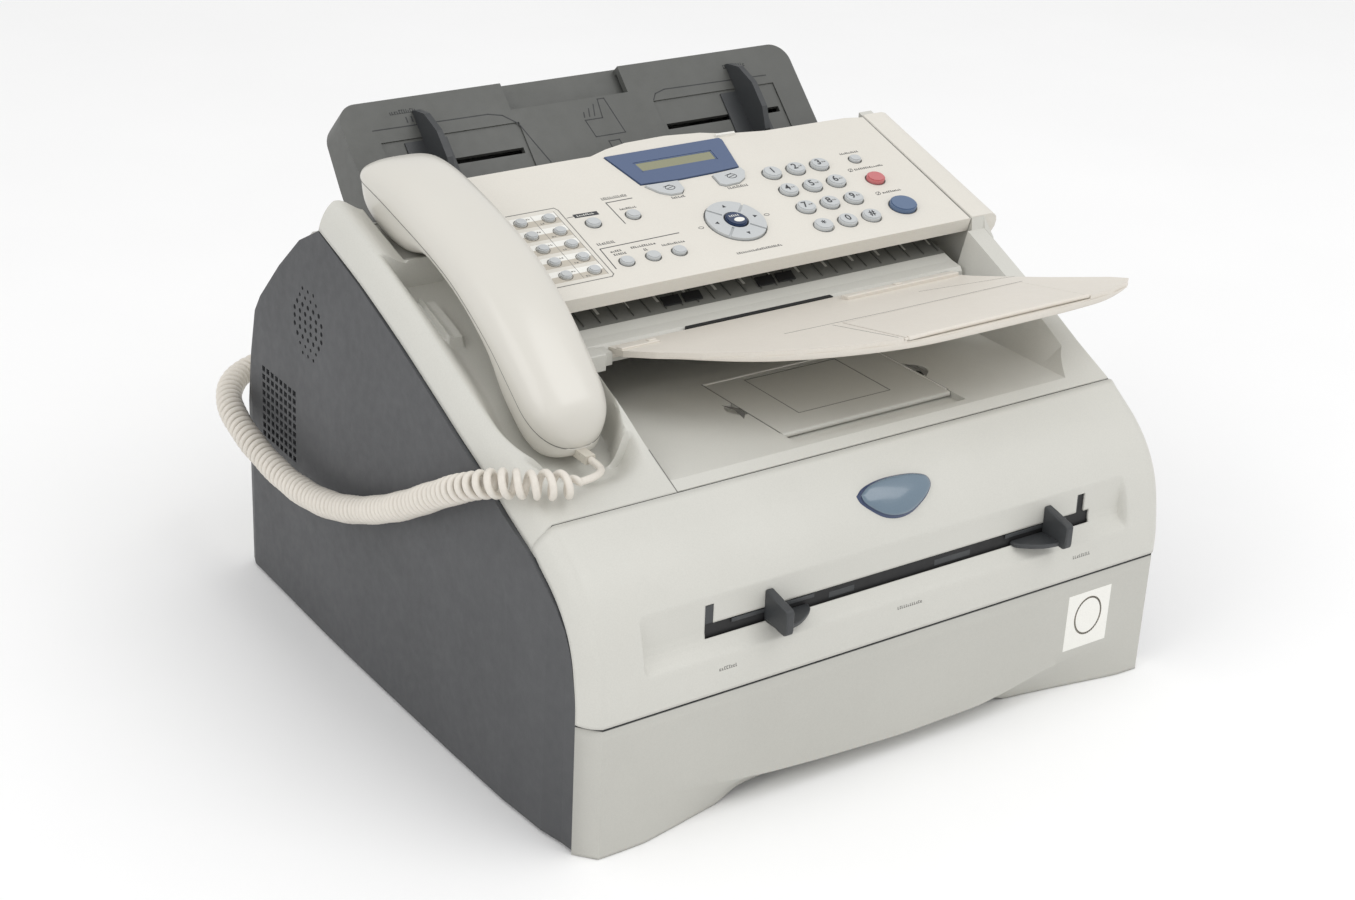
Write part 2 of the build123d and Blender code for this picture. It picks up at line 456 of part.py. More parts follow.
# lower front edge: a hollow that starts at a crease and draws back towards the grip in the middle
cass += block(-160.0, 168.0, -187.0, -168.0, 4.0, 29.0)
for xa, xb in ((-160.0, -84.0), (76.0, 168.0)):
    cass += block(xa, xb, -187.0, -168.0, 0.4, 5.0)
SC = [(-152.0, 25.4, 0.0), (-139.0, 24.4, 2.0), (-120.0, 22.4, 4.4), (-95.0, 18.9, 7.6), (-77.0, 16.4, 10.0), (-45.0, 14.0, 11.6),
      (7.5, 11.5, 12.0), (60.0, 12.2, 11.6), (80.0, 15.0, 10.0), (104.0, 19.8, 7.4), (133.0, 23.8, 4.0), (155.0, 27.5, 1.6), (166.0, 28.6, 0.0)]
cass -= ruled([Wire.make_polygon([Vector(x, -192.0, -2.0), Vector(x, -192.0, z), Vector(x, FRONT_Y - 0.01, z), Vector(x, FRONT_Y + 0.01 + d, -2.0)],
                                 close=True) for x, z, d in SC])
parts["paper_cassette"] = cass
# lifting plate for the paper, hinged near the rear
LP_Y, LP_Z = 60.0, 9.4
plate2 = block(-106.0, 106.0, -158.0, LP_Y - 1.0, 8.0, 9.6)
for s in (-1, 1):
    plate2 += block(*sorted((s * 104.4, s * 106.0)), LP_Y - 10.0, LP_Y + 3.0, 8.0, 13.0)
plate2 -= rod_x(LP_Y - 2.0, 11.0, 1.2, -107.0, 107.0)
parts["lift_plate"] = plate2

# ---------------------------------------------------------------- feet and screws
feet = []
for y in (-95.0, 145.0):
    for s in (-1, 1):
        feet.append(Pos(s * 175.5, y, 2.0) * Cylinder(6.5, 4.0))
parts["rubber_feet"] = Compound(children=feet)
screws = []
for x, z in ((-170.0, 20.0), (170.0, 20.0), (-170.0, 95.0), (170.0, 95.0), (0.0, 20.0)):
    screws.append(Pos(x, REAR_Y + 0.9, z) * Rot(90, 0, 0) * (Cylinder(3.2, 1.8) - Pos(0, 0, -0.6) * Box(4.4, 0.8, 0.8)
                                                               - Pos(0, 0, -0.6) * Box(0.8, 4.4, 0.8)))
parts["screws"] = Compound(children=screws)

# ---------------------------------------------------------------- document feed: lower guide, tray and guides
CH_T = [(-35.0, 192.6), (-28.0, 193.6), (0.0, 202.0), (40.0, 216.5), (66.0, 229.5), (76.0, 229.5)]
chute = prism_x(CH_T + [(76.0, 224.5), (66.0, 224.5), (40.0, 212.5), (0.0, 198.2), (-25.0, 190.2), (-28.0, 184.0), (-37.0, 182.6),
                        (-37.0, 190.4)], -104.0, 157.0)
for i in range(14):                                                       # drainage and guide ribs
    x = -92.0 + i * 18.8
    chute += prism_x([(-20.0, 195.8), (0.0, 203.2), (40.0, 217.9), (52.0, 222.5), (52.0, 220.0), (40.0, 215.0), (0.0, 200.0),
                      (-20.0, 194.0)], x, x + 1.6)
AR_Y, AR_Z, AR_R = 12.0, 199.2, 8.4
for x in (-8.0, 78.0):                                                    # roller windows
    chute -= block(x - 14.0, x + 14.0, AR_Y - 9.4, AR_Y + 9.4, 190.0, 225.0)
for x in (-98.0, 34.0, 146.0):                                            # roller bearings
    chute += block(x, x + 4.0, AR_Y - 6.0, AR_Y + 6.0, AR_Z - 5.0, 204.0)
chute -= rod_x(AR_Y, AR_Z, 2.26, -101.0, 155.0)
for x in (-89.5, 141.6):                                                  # bearings of the document support
    chute += block(x, x + 5.0, -45.0, -36.5, 185.0, 192.0) - rod_x(HW_Y, HW_Z, 1.46, -100.0, 160.0)
hp = PP.from_local_coords(Vector(0, HP_S, HP_H))
for x in (-50.0, 85.6):                                                   # saddles of the control panel's hinge
    chute += block(x, x + 5.4, 72.0, 79.4, 226.0, 242.6) - rod_x(hp.Y, hp.Z, 1.66, -100.0, 160.0)
parts["adf_chute"] = chute
adf = rod_x(AR_Y, AR_Z, 2.2, -100.0, 154.0)
for x in (-8.0, 78.0):
    adf += rod_x(AR_Y, AR_Z, AR_R, x - 12.0, x + 12.0)
parts["adf_roller"] = adf

ty, tz = TRAY_TOP
TP = Plane(origin=(0, ty, tz), x_dir=(1, 0, 0), z_dir=(0, -math.sin(TRAY_A), math.cos(TRAY_A)))   # y up the face
tray_len = 72.0
tray = TP * Pos(0, -tray_len / 2, -2.0) * Box(300.0, tray_len, 4.0)
# side, top rims that fall behind the face
for s in (-1, 1):
    xa, xb = sorted((s * 147.0, s * 150.0))
    tray += prism_x([(ty, tz), (ty - 50.9, tz - 50.9), (84.0, 229.8), (93.7, 229.5), (101.5, 223.1), (112.0, 217.0), (127.6, 237.0), (145.0, 262.0), (142.0, 271.0)], xa, xb)
tray += TP * Pos(0, -1.5, -9.0) * Box(300.0, 3.0, 18.0)
# rear skin
tray += prism_x([(112.0, 217.0), (127.6, 237.0), (145.0, 262.0), (142.0, 271.0), (139.6, 270.0), (142.0, 262.4), (125.4, 238.6), (110.2, 218.6)],
                -148.0, 148.0)
# rounded top corners
for s in (-1, 1):
    c = TP * Pos(s * 144.0, -6.0, -9.0) * Box(12.2, 12.2, 40.0) - TP * Pos(s * 138.0, -12.0, -9.0) * Cylinder(12.0, 50.0)
    tray -= c & (TP * Pos(s * 144.2, -5.8, -9.0) * Box(12.4, 12.4, 40.0))
# finger cut in the top edge and sunk pockets for the guides
tray -= TP * Pos(-8.0, -5.0, -2.0) * Box(78.0, 24.0, 30.0)
tray += TP * Pos(-8.0, -9.0, -7.4) * Box(82.0, 20.0, 3.0)
tray += TP * Pos(-8.0, -18.4, -5.0) * Box(82.0, 2.4, 7.6)
for xc in (-88.0, 88.0):
    tray -= TP * Pos(xc, -45.0, 1.0) * Box(86.0, 40.0, 3.8)               # sunk pocket, 0.9 deep
for xc in (-88.0, 88.0):
    tray -= TP * Pos(xc, -42.0, -2.0) * Box(80.0, 3.6, 12.0)              # guide slots
# foot that stands on the rear cover
tray += prism_x([(82.6, 230.6), (85.0, 229.6), (93.9, 229.6), (101.5, 223.0), (116.4, 209.6), (118.4, 213.4), (98.0, 231.0),
                 (87.6, 234.0)], -147.0, 147.0)
tray_solids = sorted(solids_of(tray), key=lambda s: -s.volume)
parts["document_tray"] = tray_solids[0]


def fin(xc, s):
    """Document guide: curved fin on a sliding foot with a stem through the slot."""
    g = TP * Pos(xc, -41.0, -0.35) * Box(26.0, 28.0, 0.9)
    prof = make_face(Polyline([(-27, 0.5), (-27, 5.0), (-22, 12.5), (-10, 18.0), (6, 18.0), (20, 12.0), (27, 3.5), (28, 0.9),
                               (10.5, 0.9), (10.5, 0.5)], close=True))
    finp = Plane(origin=TP.origin, x_dir=TP.y_dir, z_dir=TP.x_dir)
    body = finp * Pos(-37.0, -0.6, xc - 1.8) * extrude(prof, amount=3.6)
    g += body
    g += TP * Pos(xc, -42.0, -2.6) * Box(16.0, 3.2, 5.0)
    g += TP * Pos(xc, -42.0, -5.2) * Box(20.0, 7.0, 1.6)
    return g


parts["adf_guide_left"] = fin(-104.5, -1)
parts["adf_guide_right"] = fin(104.5, 1)

# ---------------------------------------------------------------- document output support and its extension
WK = 0.2                                     # rise towards the front


def wz(y):
    return 192.0 - WK * (y + 35.0)


WING = [(-84.0, -40.2), (-84.0, -54.0), (-75.0, -70.0), (-60.0, -90.0), (-43.0, -107.0), (-24.0, -122.0), (-3.0, -134.0),
        (21.0, -143.0), (40.0, -146.5), (72.0, -147.5), (112.0, -147.5), (140.0, -146.5), (167.0, -143.0), (186.0, -136.0),
        (193.0, -130.0), (189.0, -120.0), (180.0, -109.0), (168.0, -94.0), (156.0, -76.0), (145.0, -58.0), (141.1, -46.0), (141.0, -40.2)]
wing = None
top_w = Wire.make_polygon([Vector(x, y, wz(y)) for x, y in WING], close=True)
bot_w = Wire.make_polygon([Vector(x, y, wz(y) - 3.4) for x, y in WING], close=True)
wing = ruled([bot_w, top_w])
wing += rod_x(HW_Y, HW_Z, 2.4, -84.0, 141.0) + rod_x(HW_Y, HW_Z, 1.4, -89.0, 146.2)
SX0, SX1, SY0, SY1 = 26.0, 150.0, -146.0, -92.0
cut = ruled([Wire.make_polygon([Vector(x, y, wz(y) + dz) for x, y in ((SX0, -160.0), (SX1, -160.0), (SX1, SY1), (SX0, SY1))], close=True)
             for dz in (-1.7, 3.0)])
wing -= cut
HE_Y = -143.6
wing -= rod_x(HE_Y, wz(HE_Y) - 0.3, 0.76, SX0 - 2.0, SX1 + 2.0)
parts["document_support"] = wing
e_w = [Wire.make_polygon([Vector(x, y, wz(y) + dz) for x, y in ((SX0 + 0.5, HE_Y), (SX1 - 0.5, HE_Y), (SX1 - 0.5, SY1 - 0.6), (SX0 + 0.5, SY1 - 0.6))],
                         close=True) for dz in (-1.3, 0.1)]
se = ruled(e_w) + rod_x(HE_Y, wz(HE_Y) - 0.3, 1.2, SX0 + 0.5, SX1 - 0.5) + rod_x(HE_Y, wz(HE_Y) - 0.3, 0.7, SX0 - 1.6, SX1 + 1.6)
parts["support_extension"] = se

# ---------------------------------------------------------------- control panel
outline = [(PANEL_X0, 0.0), (PANEL_X1, 0.0), (PANEL_X1, 106.6), (156.0, 108.8), (97.6, 109.6), (72.0, 113.0), (57.0, 117.6),
           (34.0, 120.2), (7.0, 119.6), (-8.0, 116.6), (-20.0, 112.6), (-46.0, 112.6), (PANEL_X0, 112.0)]


def slab(pts, h0, h1):
    w = Wire.make_polygon([Vector(x, y, h0) for x, y in pts], close=True)
    return PP * extrude(Face(w), amount=h1 - h0, dir=(0, 0, 1))


panel = slab(outline, -PANEL_T, 0.0)
panel += PP * Pos((PANEL_X0 + PANEL_X1) / 2, 1.5, -PANEL_BAND / 2) * Box(PANEL_X1 - PANEL_X0, 3.0, PANEL_BAND)      # front band
panel += PP * Pos(PANEL_X0 + 1.2, 52.0, -PANEL_BAND / 2) * Box(2.4, 104.0, PANEL_BAND)
panel += PP * Pos(PANEL_X1 - 1.2, 52.0, -PANEL_BAND / 2) * Box(2.4, 104.0, PANEL_BAND)
# underside plate: upper paper guide, with two roller windows
panel += PP * Pos((PANEL_X0 + PANEL_X1) / 2, 45.0, -PANEL_BAND + 0.8) * Box(PANEL_X1 - PANEL_X0, 90.0, 1.6)
# hinge barrel at the rear underside
panel += PP * Pos(20.5, HP_S, HP_H) * Rot(0, 90, 0) * Cylinder(2.4, 129.0)
panel += PP * Pos(20.5, HP_S, HP_H) * Rot(0, 90, 0) * Cylinder(1.6, 140.0)
panel += PP * Pos(20.5, HP_S, -3.6) * Box(129.0, 3.0, 2.4)

keys = {}


def key_round(name, x, s, a, b, h=2.4):
    """Domed key: a low cap with a chamfered top, on a stem under the panel."""
    hole = PP * Pos(x, s, -PANEL_T / 2) * extrude(Ellipse(a + HOLE_GAP, b + HOLE_GAP), amount=4.0, both=True)
    cap = Pos(x, s, 0) * extrude(Ellipse(a, b), amount=h - 0.6)
    cap = Pos(0, 0, 0) * cap + Pos(x, s, -2.6) * extrude(Ellipse(a, b), amount=2.7)
    cap += Pos(x, s, h - 0.62) * extrude(Ellipse(a - 0.7, b - 0.7), amount=0.62)
    keys[name] = (PP * cap, hole)


pad = [("key_1", 75.3, 69.7), ("key_2", 92.1, 69.7), ("key_3", 109.0, 69.7), ("key_4", 75.3, 52.6), ("key_5", 92.1, 52.6),
       ("key_6", 109.0, 52.6), ("key_7", 75.3, 35.4), ("key_8", 92.1, 35.4), ("key_9", 109.0, 35.4), ("key_star", 75.0, 17.9),
       ("key_0", 92.0, 17.9), ("key_hash", 108.8, 17.9)]
for n, x, s in pad:
    key_round(n, x, s, 5.6, 5.0)
key_round("key_reports", 134.6, 69.2, 3.6, 3.2, 2.0)
key_round("key_stop", 134.4, 48.6, 5.6, 5.0, 2.6)
key_round("key_start", 134.2, 21.4, 8.2, 7.2, 2.8)
key_round("key_shift", -52.4, 55.8, 4.2, 3.6, 2.0)
key_round("key_options", -26.6, 56.6, 4.0, 3.6, 2.0)


def many(name, places, a, b, h=2.0):
    caps, holes = [], []
    for x, s in places:
        holes.append(PP * Pos(x, s, -PANEL_T / 2) * extrude(Ellipse(a + HOLE_GAP, b + HOLE_GAP), amount=4.0, both=True))
        c = Pos(x, s, -2.6) * extrude(Ellipse(a, b), amount=2.6 + h - 0.6) + Pos(x, s, h - 0.62) * extrude(Ellipse(a - 0.6, b - 0.6), amount=0.62)
        caps.append(PP * c)
    keys[name] = (Compound(children=caps), Compound(children=holes))


many("one_touch_keys", [(xx, ss) for xx in (-91.5, -74.1) for ss in (66.2, 54.3, 42.4, 30.6, 18.8)], 3.3, 2.9)
many("fax_keys", [(-52.9, 20.4), (-36.2, 20.5), (-19.6, 20.6)], 4.0, 3.5)

# mode keys under the display: blades with a rounded lower edge
fax_pts = [(-5.5, 78.2), (15.6, 77.6), (15.2, 70.0), (12.0, 67.0), (5.0, 67.0), (-0.5, 70.5)]
cop_pts = [(39.0, 77.0), (59.6, 79.2), (60.0, 75.5), (56.5, 70.0), (50.5, 66.8), (41.5, 66.4), (38.6, 68.5)]
for n, pts in (("key_fax_mode", fax_pts), ("key_copy_mode", cop_pts)):
    cx = sum(p[0] for p in pts) / len(pts)
    cy = sum(p[1] for p in pts) / len(pts)
    big = [(cx + (x - cx) * 1.05, cy + (y - cy) * 1.06) for x, y in pts]
    keys[n] = (slab(pts, -2.6, 1.2), slab(big, -5.0, 3.0))
# navigation ring with a round menu key in its middle
NX, NS = 27.1, 35.4
ring = Pos(NX, NS, -2.6) * (Cylinder(17.2, 4.2, align=(Align.CENTER, Align.CENTER, Align.MIN))
                            - Cylinder(7.2, 14.0))
for k in range(4):
    ring -= Pos(NX, NS, 1.6) * Rot(0, 0, 45 + 90 * k) * Pos(13.0, 0, 0) * Box(10.0, 1.4, 1.8)
keys["key_nav"] = (PP * ring, PP * Pos(NX, NS, 0) * Cylinder(17.6, 9.0))
key_round("key_menu", NX, NS, 6.2, 6.2, 2.6)
for n, (cap, hole) in keys.items():
    panel -= hole
    parts[n] = cap
panel -= slab([(-13.8, 109.6), (64.8, 109.6), (65.9, 107.0), (60.0, 80.4), (41.1, 79.2), (16.1, 78.6), (-7.2, 80.0)], -1.6, 2.0)
# paper window cut through the underside
psolids = sorted(solids_of(panel), key=lambda q: -q.volume)
parts["control_panel"] = psolids[0]
print("control panel solids", [round(q.volume, 1) for q in psolids])

bez_o = [(-13.2, 109.2), (64.4, 109.2), (65.4, 107.0), (59.5, 80.9), (41.1, 79.8), (16.1, 79.2), (-6.6, 80.5)]
bezel = slab(bez_o, -1.5, 0.8)
win = [(-0.4, 99.8), (52.4, 99.6), (51.6, 90.4), (0.4, 90.4)]
bezel -= slab(win, -0.5, 2.0)
parts["lcd_bezel"] = bezel
parts["lcd_glass"] = slab([(0.0, 99.4), (52.0, 99.2), (51.2, 90.8), (0.8, 90.8)], -0.4, 0.5)

# ---------------------------------------------------------------- inner machinery
parts["pickup_roller"] = rod_x(PR_Y, PR_Z, 3.0, -60.0, 60.0) + rod_x(PR_Y, PR_Z, 9.0, -22.0, 22.0)
drum = prism_x([(-150.0, 124.0), (-150.0, 98.0), (-116.0, 79.0), (-20.0, 79.0), (-6.0, 100.0), (-6.0, 128.0), (-40.0, 146.0), (-126.0, 140.0)],
               -124.0, 124.0)
parts["toner_drum_unit"] = drum + rod_x(-60.0, 112.0, 12.0, -140.0, 140.0)
parts["laser_unit"] = block(-100.0, 110.0, 39.0, 153.0, 139.0, 158.0) + block(-40.0, 40.0, 60.0, 110.0, 157.0, 168.0)
board = block(-150.0, 150.0, 60.0, 148.0, 84.0, 85.6)
for x, y, w, h in ((-120, 80, 24, 9), (-60, 130, 34, 7), (20, 90, 28, 6), (100, 120, 40, 12)):
    board += block(x, x + w, y, y + 18, 85.6, 85.6 + h)
parts["main_board"] = board

# ---------------------------------------------------------------- handset cord
LEAD = [(-136.0, -106.0, 168.5), (-136.0, -116.0, 168.5), (-143.6, -126.0, 171.0), (-154.4, -131.4, 172.8), (-165.0, -132.0, 172.8)]
CORD = [(-165.0, -132.0, 172.8), (-183.0, -127.4, 175.6), (-197.0, -114.0, 174.2), (-203.2, -95.0, 164.6), (-204.0, -71.0, 150.0),
        (-204.2, -43.0, 132.8), (-204.0, -12.0, 116.8), (-204.1, 20.0, 103.4), (-204.0, 52.0, 94.4), (-204.2, 84.0, 90.8),
        (-204.8, 116.0, 93.4), (-204.6, 149.0, 100.0), (-198.6, 179.0, 105.6), (-179.4, 200.4, 108.8), (-152.6, 206.0, 108.0)]
TAIL = [(-152.6, 206.0, 108.0), (-145.6, 206.0, 108.0), (-139.5, 202.5, 108.0), (-136.0, 196.4, 108.0), (-136.0, 189.5, 108.0)]


def tube(points, d, label):
    v = [Vector(*p) for p in points]
    radii, runs = [], []
    for a, b, c in zip(v, v[1:], v[2:]):
        turn = (b - a).get_angle(c - b)
        run = min((b - a).length, (c - b).length)
        radii.append(0.45 * run / math.tan(math.radians(turn) / 2))
    path = FilletPolyline(*points, radius=radii)
    start = Plane(origin=v[0], z_dir=(v[1] - v[0]))
    body = sweep(start * Circle(d / 2), path=path)
    want = math.pi * d * d / 4 * path.length
    print(label, "length %.1f" % path.length, "volume ratio %.4f" % (body.volume / want), "radii", [round(r, 1) for r in radii])
    return body, path.length


lead, l1 = tube(LEAD, LEAD_D, "handset lead")
coil, l2 = tube(CORD, CORD_D, "curly cord")
tail, l3 = tube(TAIL, LEAD_D, "rear lead")
cord = coil + lead + tail
parts["handset_cord"] = cord
print("cord route length", round(l1 + l2 + l3, 1), "solids", len(solids_of(cord)))
plug_h = block(PLUG_X - 2.7, PLUG_X + 2.7, -106.0, -91.0, PLUG_Z - 2.2, PLUG_Z + 2.2)
parts["cord_plug_handset"] = plug_h
parts["cord_plug_base"] = block(JACK_X - 3.8, JACK_X + 3.8, 168.0, 189.5, JACK_Z - 3.3, JACK_Z + 3.3)

# ---------------------------------------------------------------- frame and export
ON_CORD = ("handset_cord", "cord_plug_handset", "cord_plug_base")
boxes = [p.bounding_box() for n, p in parts.items() if n not in ON_CORD]
lo = [min(getattr(b.min, c) for b in boxes) for c in "XYZ"]
hi = [max(getattr(b.max, c) for b in boxes) for c in "XYZ"]
SHIFT = Vector(-(lo[0] + hi[0]) / 2, -(lo[1] + hi[1]) / 2, -lo[2])
print("box", [round(v, 2) for v in lo], [round(v, 2) for v in hi], "shift", SHIFT)
os.makedirs("parts", exist_ok=True)
for f in os.listdir("parts"):
    if f.endswith(".step"):
        os.remove(os.path.join("parts", f))
for name, shape in parts.items():
    out = Pos(SHIFT) * shape
    out.label = name
    export_step(out, os.path.join("parts", name + ".step"))
print("nodes", len(parts))
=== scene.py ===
import json
import math
import bpy
import bmesh
import numpy as np
from mathutils import Matrix, Vector


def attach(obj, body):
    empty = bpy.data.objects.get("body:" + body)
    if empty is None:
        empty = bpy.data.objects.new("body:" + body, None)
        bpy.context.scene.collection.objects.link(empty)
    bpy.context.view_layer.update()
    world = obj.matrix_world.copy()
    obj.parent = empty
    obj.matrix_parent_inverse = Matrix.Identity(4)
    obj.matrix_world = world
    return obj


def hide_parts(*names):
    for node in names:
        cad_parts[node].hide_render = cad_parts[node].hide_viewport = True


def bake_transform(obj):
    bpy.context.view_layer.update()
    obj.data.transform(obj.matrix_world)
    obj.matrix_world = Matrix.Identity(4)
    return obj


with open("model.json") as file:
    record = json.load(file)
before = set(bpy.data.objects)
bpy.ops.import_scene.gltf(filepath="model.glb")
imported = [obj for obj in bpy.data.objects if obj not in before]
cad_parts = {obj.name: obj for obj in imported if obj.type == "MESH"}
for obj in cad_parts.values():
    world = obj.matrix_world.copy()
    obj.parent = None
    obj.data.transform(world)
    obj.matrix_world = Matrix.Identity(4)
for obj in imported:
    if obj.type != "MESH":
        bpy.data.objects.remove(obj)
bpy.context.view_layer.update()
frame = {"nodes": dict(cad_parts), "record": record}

DY = 13.45                       # working coordinates (mm) to the row frame
NODES = frame["nodes"]
scene = bpy.context.scene


def W(p):
    """Working coordinates in millimetres to the row frame in metres."""
    return (p[0] / 1000.0, (p[1] + DY) / 1000.0, p[2] / 1000.0)


# ================================================================ materials
def new_mat(name):
    m = bpy.data.materials.new(name)
    m.use_nodes = True
    nt = m.node_tree
    for n in list(nt.nodes):
        nt.nodes.remove(n)
    out = nt.nodes.new("ShaderNodeOutputMaterial")
    b = nt.nodes.new("ShaderNodeBsdfPrincipled")
    nt.links.new(b.outputs[0], out.inputs[0])
    tc = nt.nodes.new("ShaderNodeTexCoord")
    return m, nt, b, tc


def lin(c):
    """sRGB 0-255 to linear."""
    out = []
    for v in c:
        v = v / 255.0
        out.append(v / 12.92 if v <= 0.04045 else ((v + 0.055) / 1.055) ** 2.4)
    return tuple(out) + (1.0,)


def noise(nt, tc, scale, detail=4.0, rough=0.6):
    n = nt.nodes.new("ShaderNodeTexNoise")
    n.inputs["Scale"].default_value = scale
    n.inputs["Detail"].default_value = detail
    n.inputs["Roughness"].default_value = rough
    nt.links.new(tc.outputs["Object"], n.inputs["Vector"])
    return n


def ramp(nt, fac, stops):
    r = nt.nodes.new("ShaderNodeValToRGB")
    el = r.color_ramp.elements
    while len(el) < len(stops):
        el.new(0.5)
    for e, (p, c) in zip(el, stops):
        e.position = p
        e.color = c
    nt.links.new(fac, r.inputs[0])
    return r


def span(nt, fac, lo, hi):
    r = nt.nodes.new("ShaderNodeMapRange")
    r.inputs["From Min"].default_value = 0.3
    r.inputs["From Max"].default_value = 0.7
    r.inputs["To Min"].default_value = lo
    r.inputs["To Max"].default_value = hi
    nt.links.new(fac, r.inputs["Value"])
    return r


def plastic(name, rgb, rough=(0.40, 0.50), vary=5, grain=1400.0, bump=0.10, spec=0.5, coat=0.0, fleck=0.955):
    """Moulded plastic: soft mottling in the colour, fine spark-eroded grain in bump and roughness."""
    m, nt, b, tc = new_mat(name)
    big = noise(nt, tc, 9.0, 5.0)
    lo = lin([max(v - vary, 0) for v in rgb])
    hi = lin([min(v + vary * 0.6, 255) for v in rgb])
    col = ramp(nt, big.outputs["Fac"], [(0.32, lo), (0.68, hi)])
    fine = noise(nt, tc, grain, 3.0, 0.7)
    mid = noise(nt, tc, 160.0, 4.0, 0.6)
    mix = nt.nodes.new("ShaderNodeMix")
    mix.data_type = "RGBA"
    mix.blend_type = "MULTIPLY"
    mix.inputs[0].default_value = 1.0
    sp = ramp(nt, fine.outputs["Fac"], [(0.35, (fleck, fleck, fleck, 1)), (0.6, (1, 1, 1, 1))])
    nt.links.new(col.outputs[0], mix.inputs[6])
    nt.links.new(sp.outputs[0], mix.inputs[7])
    nt.links.new(mix.outputs[2], b.inputs["Base Color"])
    rr = span(nt, mid.outputs["Fac"], rough[0], rough[1])
    nt.links.new(rr.outputs[0], b.inputs["Roughness"])
    bp = nt.nodes.new("ShaderNodeBump")
    bp.inputs["Strength"].default_value = bump
    bp.inputs["Distance"].default_value = 0.0002
    nt.links.new(fine.outputs["Fac"], bp.inputs["Height"])
    nt.links.new(bp.outputs[0], b.inputs["Normal"])
    b.inputs["Specular IOR Level"].default_value = spec
    if coat:
        b.inputs["Coat Weight"].default_value = coat
        b.inputs["Coat Roughness"].default_value = 0.08
    return m


M = {
    "light_body": plastic("M_light_body", (206, 205, 198), (0.42, 0.52), 3, bump=0.07),
    "panel_body": plastic("M_panel_body", (223, 219, 210), (0.44, 0.54), 3, bump=0.07),
    "handset": plastic("M_handset", (214, 211, 203), (0.28, 0.29), 2, grain=900.0, bump=0.0, coat=0.08, fleck=0.995),
    "side_grey": plastic("M_side_grey", (74, 75, 77), (0.50, 0.62), 7, grain=1000.0, bump=0.30),
    "dark_inner": plastic("M_dark_inner", (59, 61, 63), (0.40, 0.52), 6, bump=0.15),
    "tray_grey": plastic("M_tray_grey", (92, 93, 90), (0.42, 0.54), 6, bump=0.15),
    "support_pink": plastic("M_support_pink", (221, 215, 205), (0.38, 0.48), 3, bump=0.06),
    "bezel_blue": plastic("M_bezel_blue", (76, 94, 128), (0.30, 0.33), 2, grain=900.0, bump=0.0, coat=0.10, fleck=0.99),
    "key_grey": plastic("M_key_grey", (196, 199, 200), (0.34, 0.44), 4, bump=0.05),
    "key_red": plastic("M_key_red", (200, 116, 118), (0.34, 0.44), 5, bump=0.05),
    "key_blue": plastic("M_key_blue", (94, 114, 144), (0.34, 0.44), 5, bump=0.05),
    "key_navy": plastic("M_key_navy", (46, 62, 92), (0.32, 0.42), 5, bump=0.05),
    "cord": plastic("M_cord", (224, 218, 208), (0.30, 0.40), 5, grain=600.0, bump=0.05),
    "plug": plastic("M_plug", (205, 200, 188), (0.25, 0.35), 5, bump=0.04),
    "badge": plastic("M_badge", (102, 121, 136), (0.16, 0.24), 6, bump=0.02, coat=0.6),
    "rubber": plastic("M_rubber", (46, 46, 47), (0.65, 0.8), 6, grain=700.0, bump=0.4),
    "steel": plastic("M_steel", (150, 152, 152), (0.35, 0.5), 8, grain=500.0, bump=0.2),
    "inner_plastic": plastic("M_inner_plastic", (52, 53, 55), (0.5, 0.65), 6, bump=0.2),
    "board": plastic("M_board", (50, 92, 62), (0.4, 0.55), 8, grain=300.0, bump=0.2),
    "cassette_body": plastic("M_cassette_body", (191, 190, 183), (0.42, 0.52), 3, bump=0.07),
    "lcd": plastic("M_lcd", (138, 138, 108), (0.18, 0.26), 5, bump=0.02, coat=0.4),
}
M["handset_under"] = M["handset"]
SLOT_OF = {s["node"]: s["material_slot"] for s in frame["record"]["subparts"]}


def dress(obj, mat):
    obj.data.materials.clear()
    obj.data.materials.append(mat)


def set_smooth(obj, angle=32.0):
    """Smooth shading that breaks at real edges."""
    me = obj.data
    for p in me.polygons:
        p.use_smooth = True
    bm = bmesh.new()
    bm.from_mesh(me)
    lim = math.radians(angle)
    sharp = [e.index for e in bm.edges if len(e.link_faces) == 2 and e.calc_face_angle(0.0) > lim]
    bm.free()
    for i in sharp:
        me.edges[i].use_edge_sharp = True


def soften(obj, width=0.0004, seg=2, angle=40.0):
    """Small rounded edges, as a mould leaves them."""
    b = obj.modifiers.new("edge", "BEVEL")
    b.width = width
    b.segments = seg
    b.limit_method = "ANGLE"
    b.angle_limit = math.radians(angle)
    b.use_clamp_overlap = True
    b.harden_normals = False


for n, o in NODES.items():
    dress(o, M[SLOT_OF[n]])
    set_smooth(o)

# ================================================================ camera
R = ((0.823371, -0.565829, 0.043555), (-0.207931, -0.372202, -0.904561), (0.528038, 0.735733, -0.424114))
cam_d = bpy.data.cameras.new("camera")
cam_d.sensor_width = 36.0
cam_d.sensor_fit = "HORIZONTAL"
cam_d.lens = 2335.80 / 1355.0 * 36.0
cam_d.clip_start = 0.05
cam_d.clip_end = 30.0
cam = bpy.data.objects.new("camera", cam_d)
scene.collection.objects.link(cam)
x_ax, y_ax, z_ax = Vector(R[0]), -Vector(R[1]), -Vector(R[2])
mw = Matrix((x_ax, y_ax, z_ax)).transposed().to_4x4()
mw.translation = W((-695.605, -957.141, 652.610))
cam.matrix_world = mw
scene.camera = cam


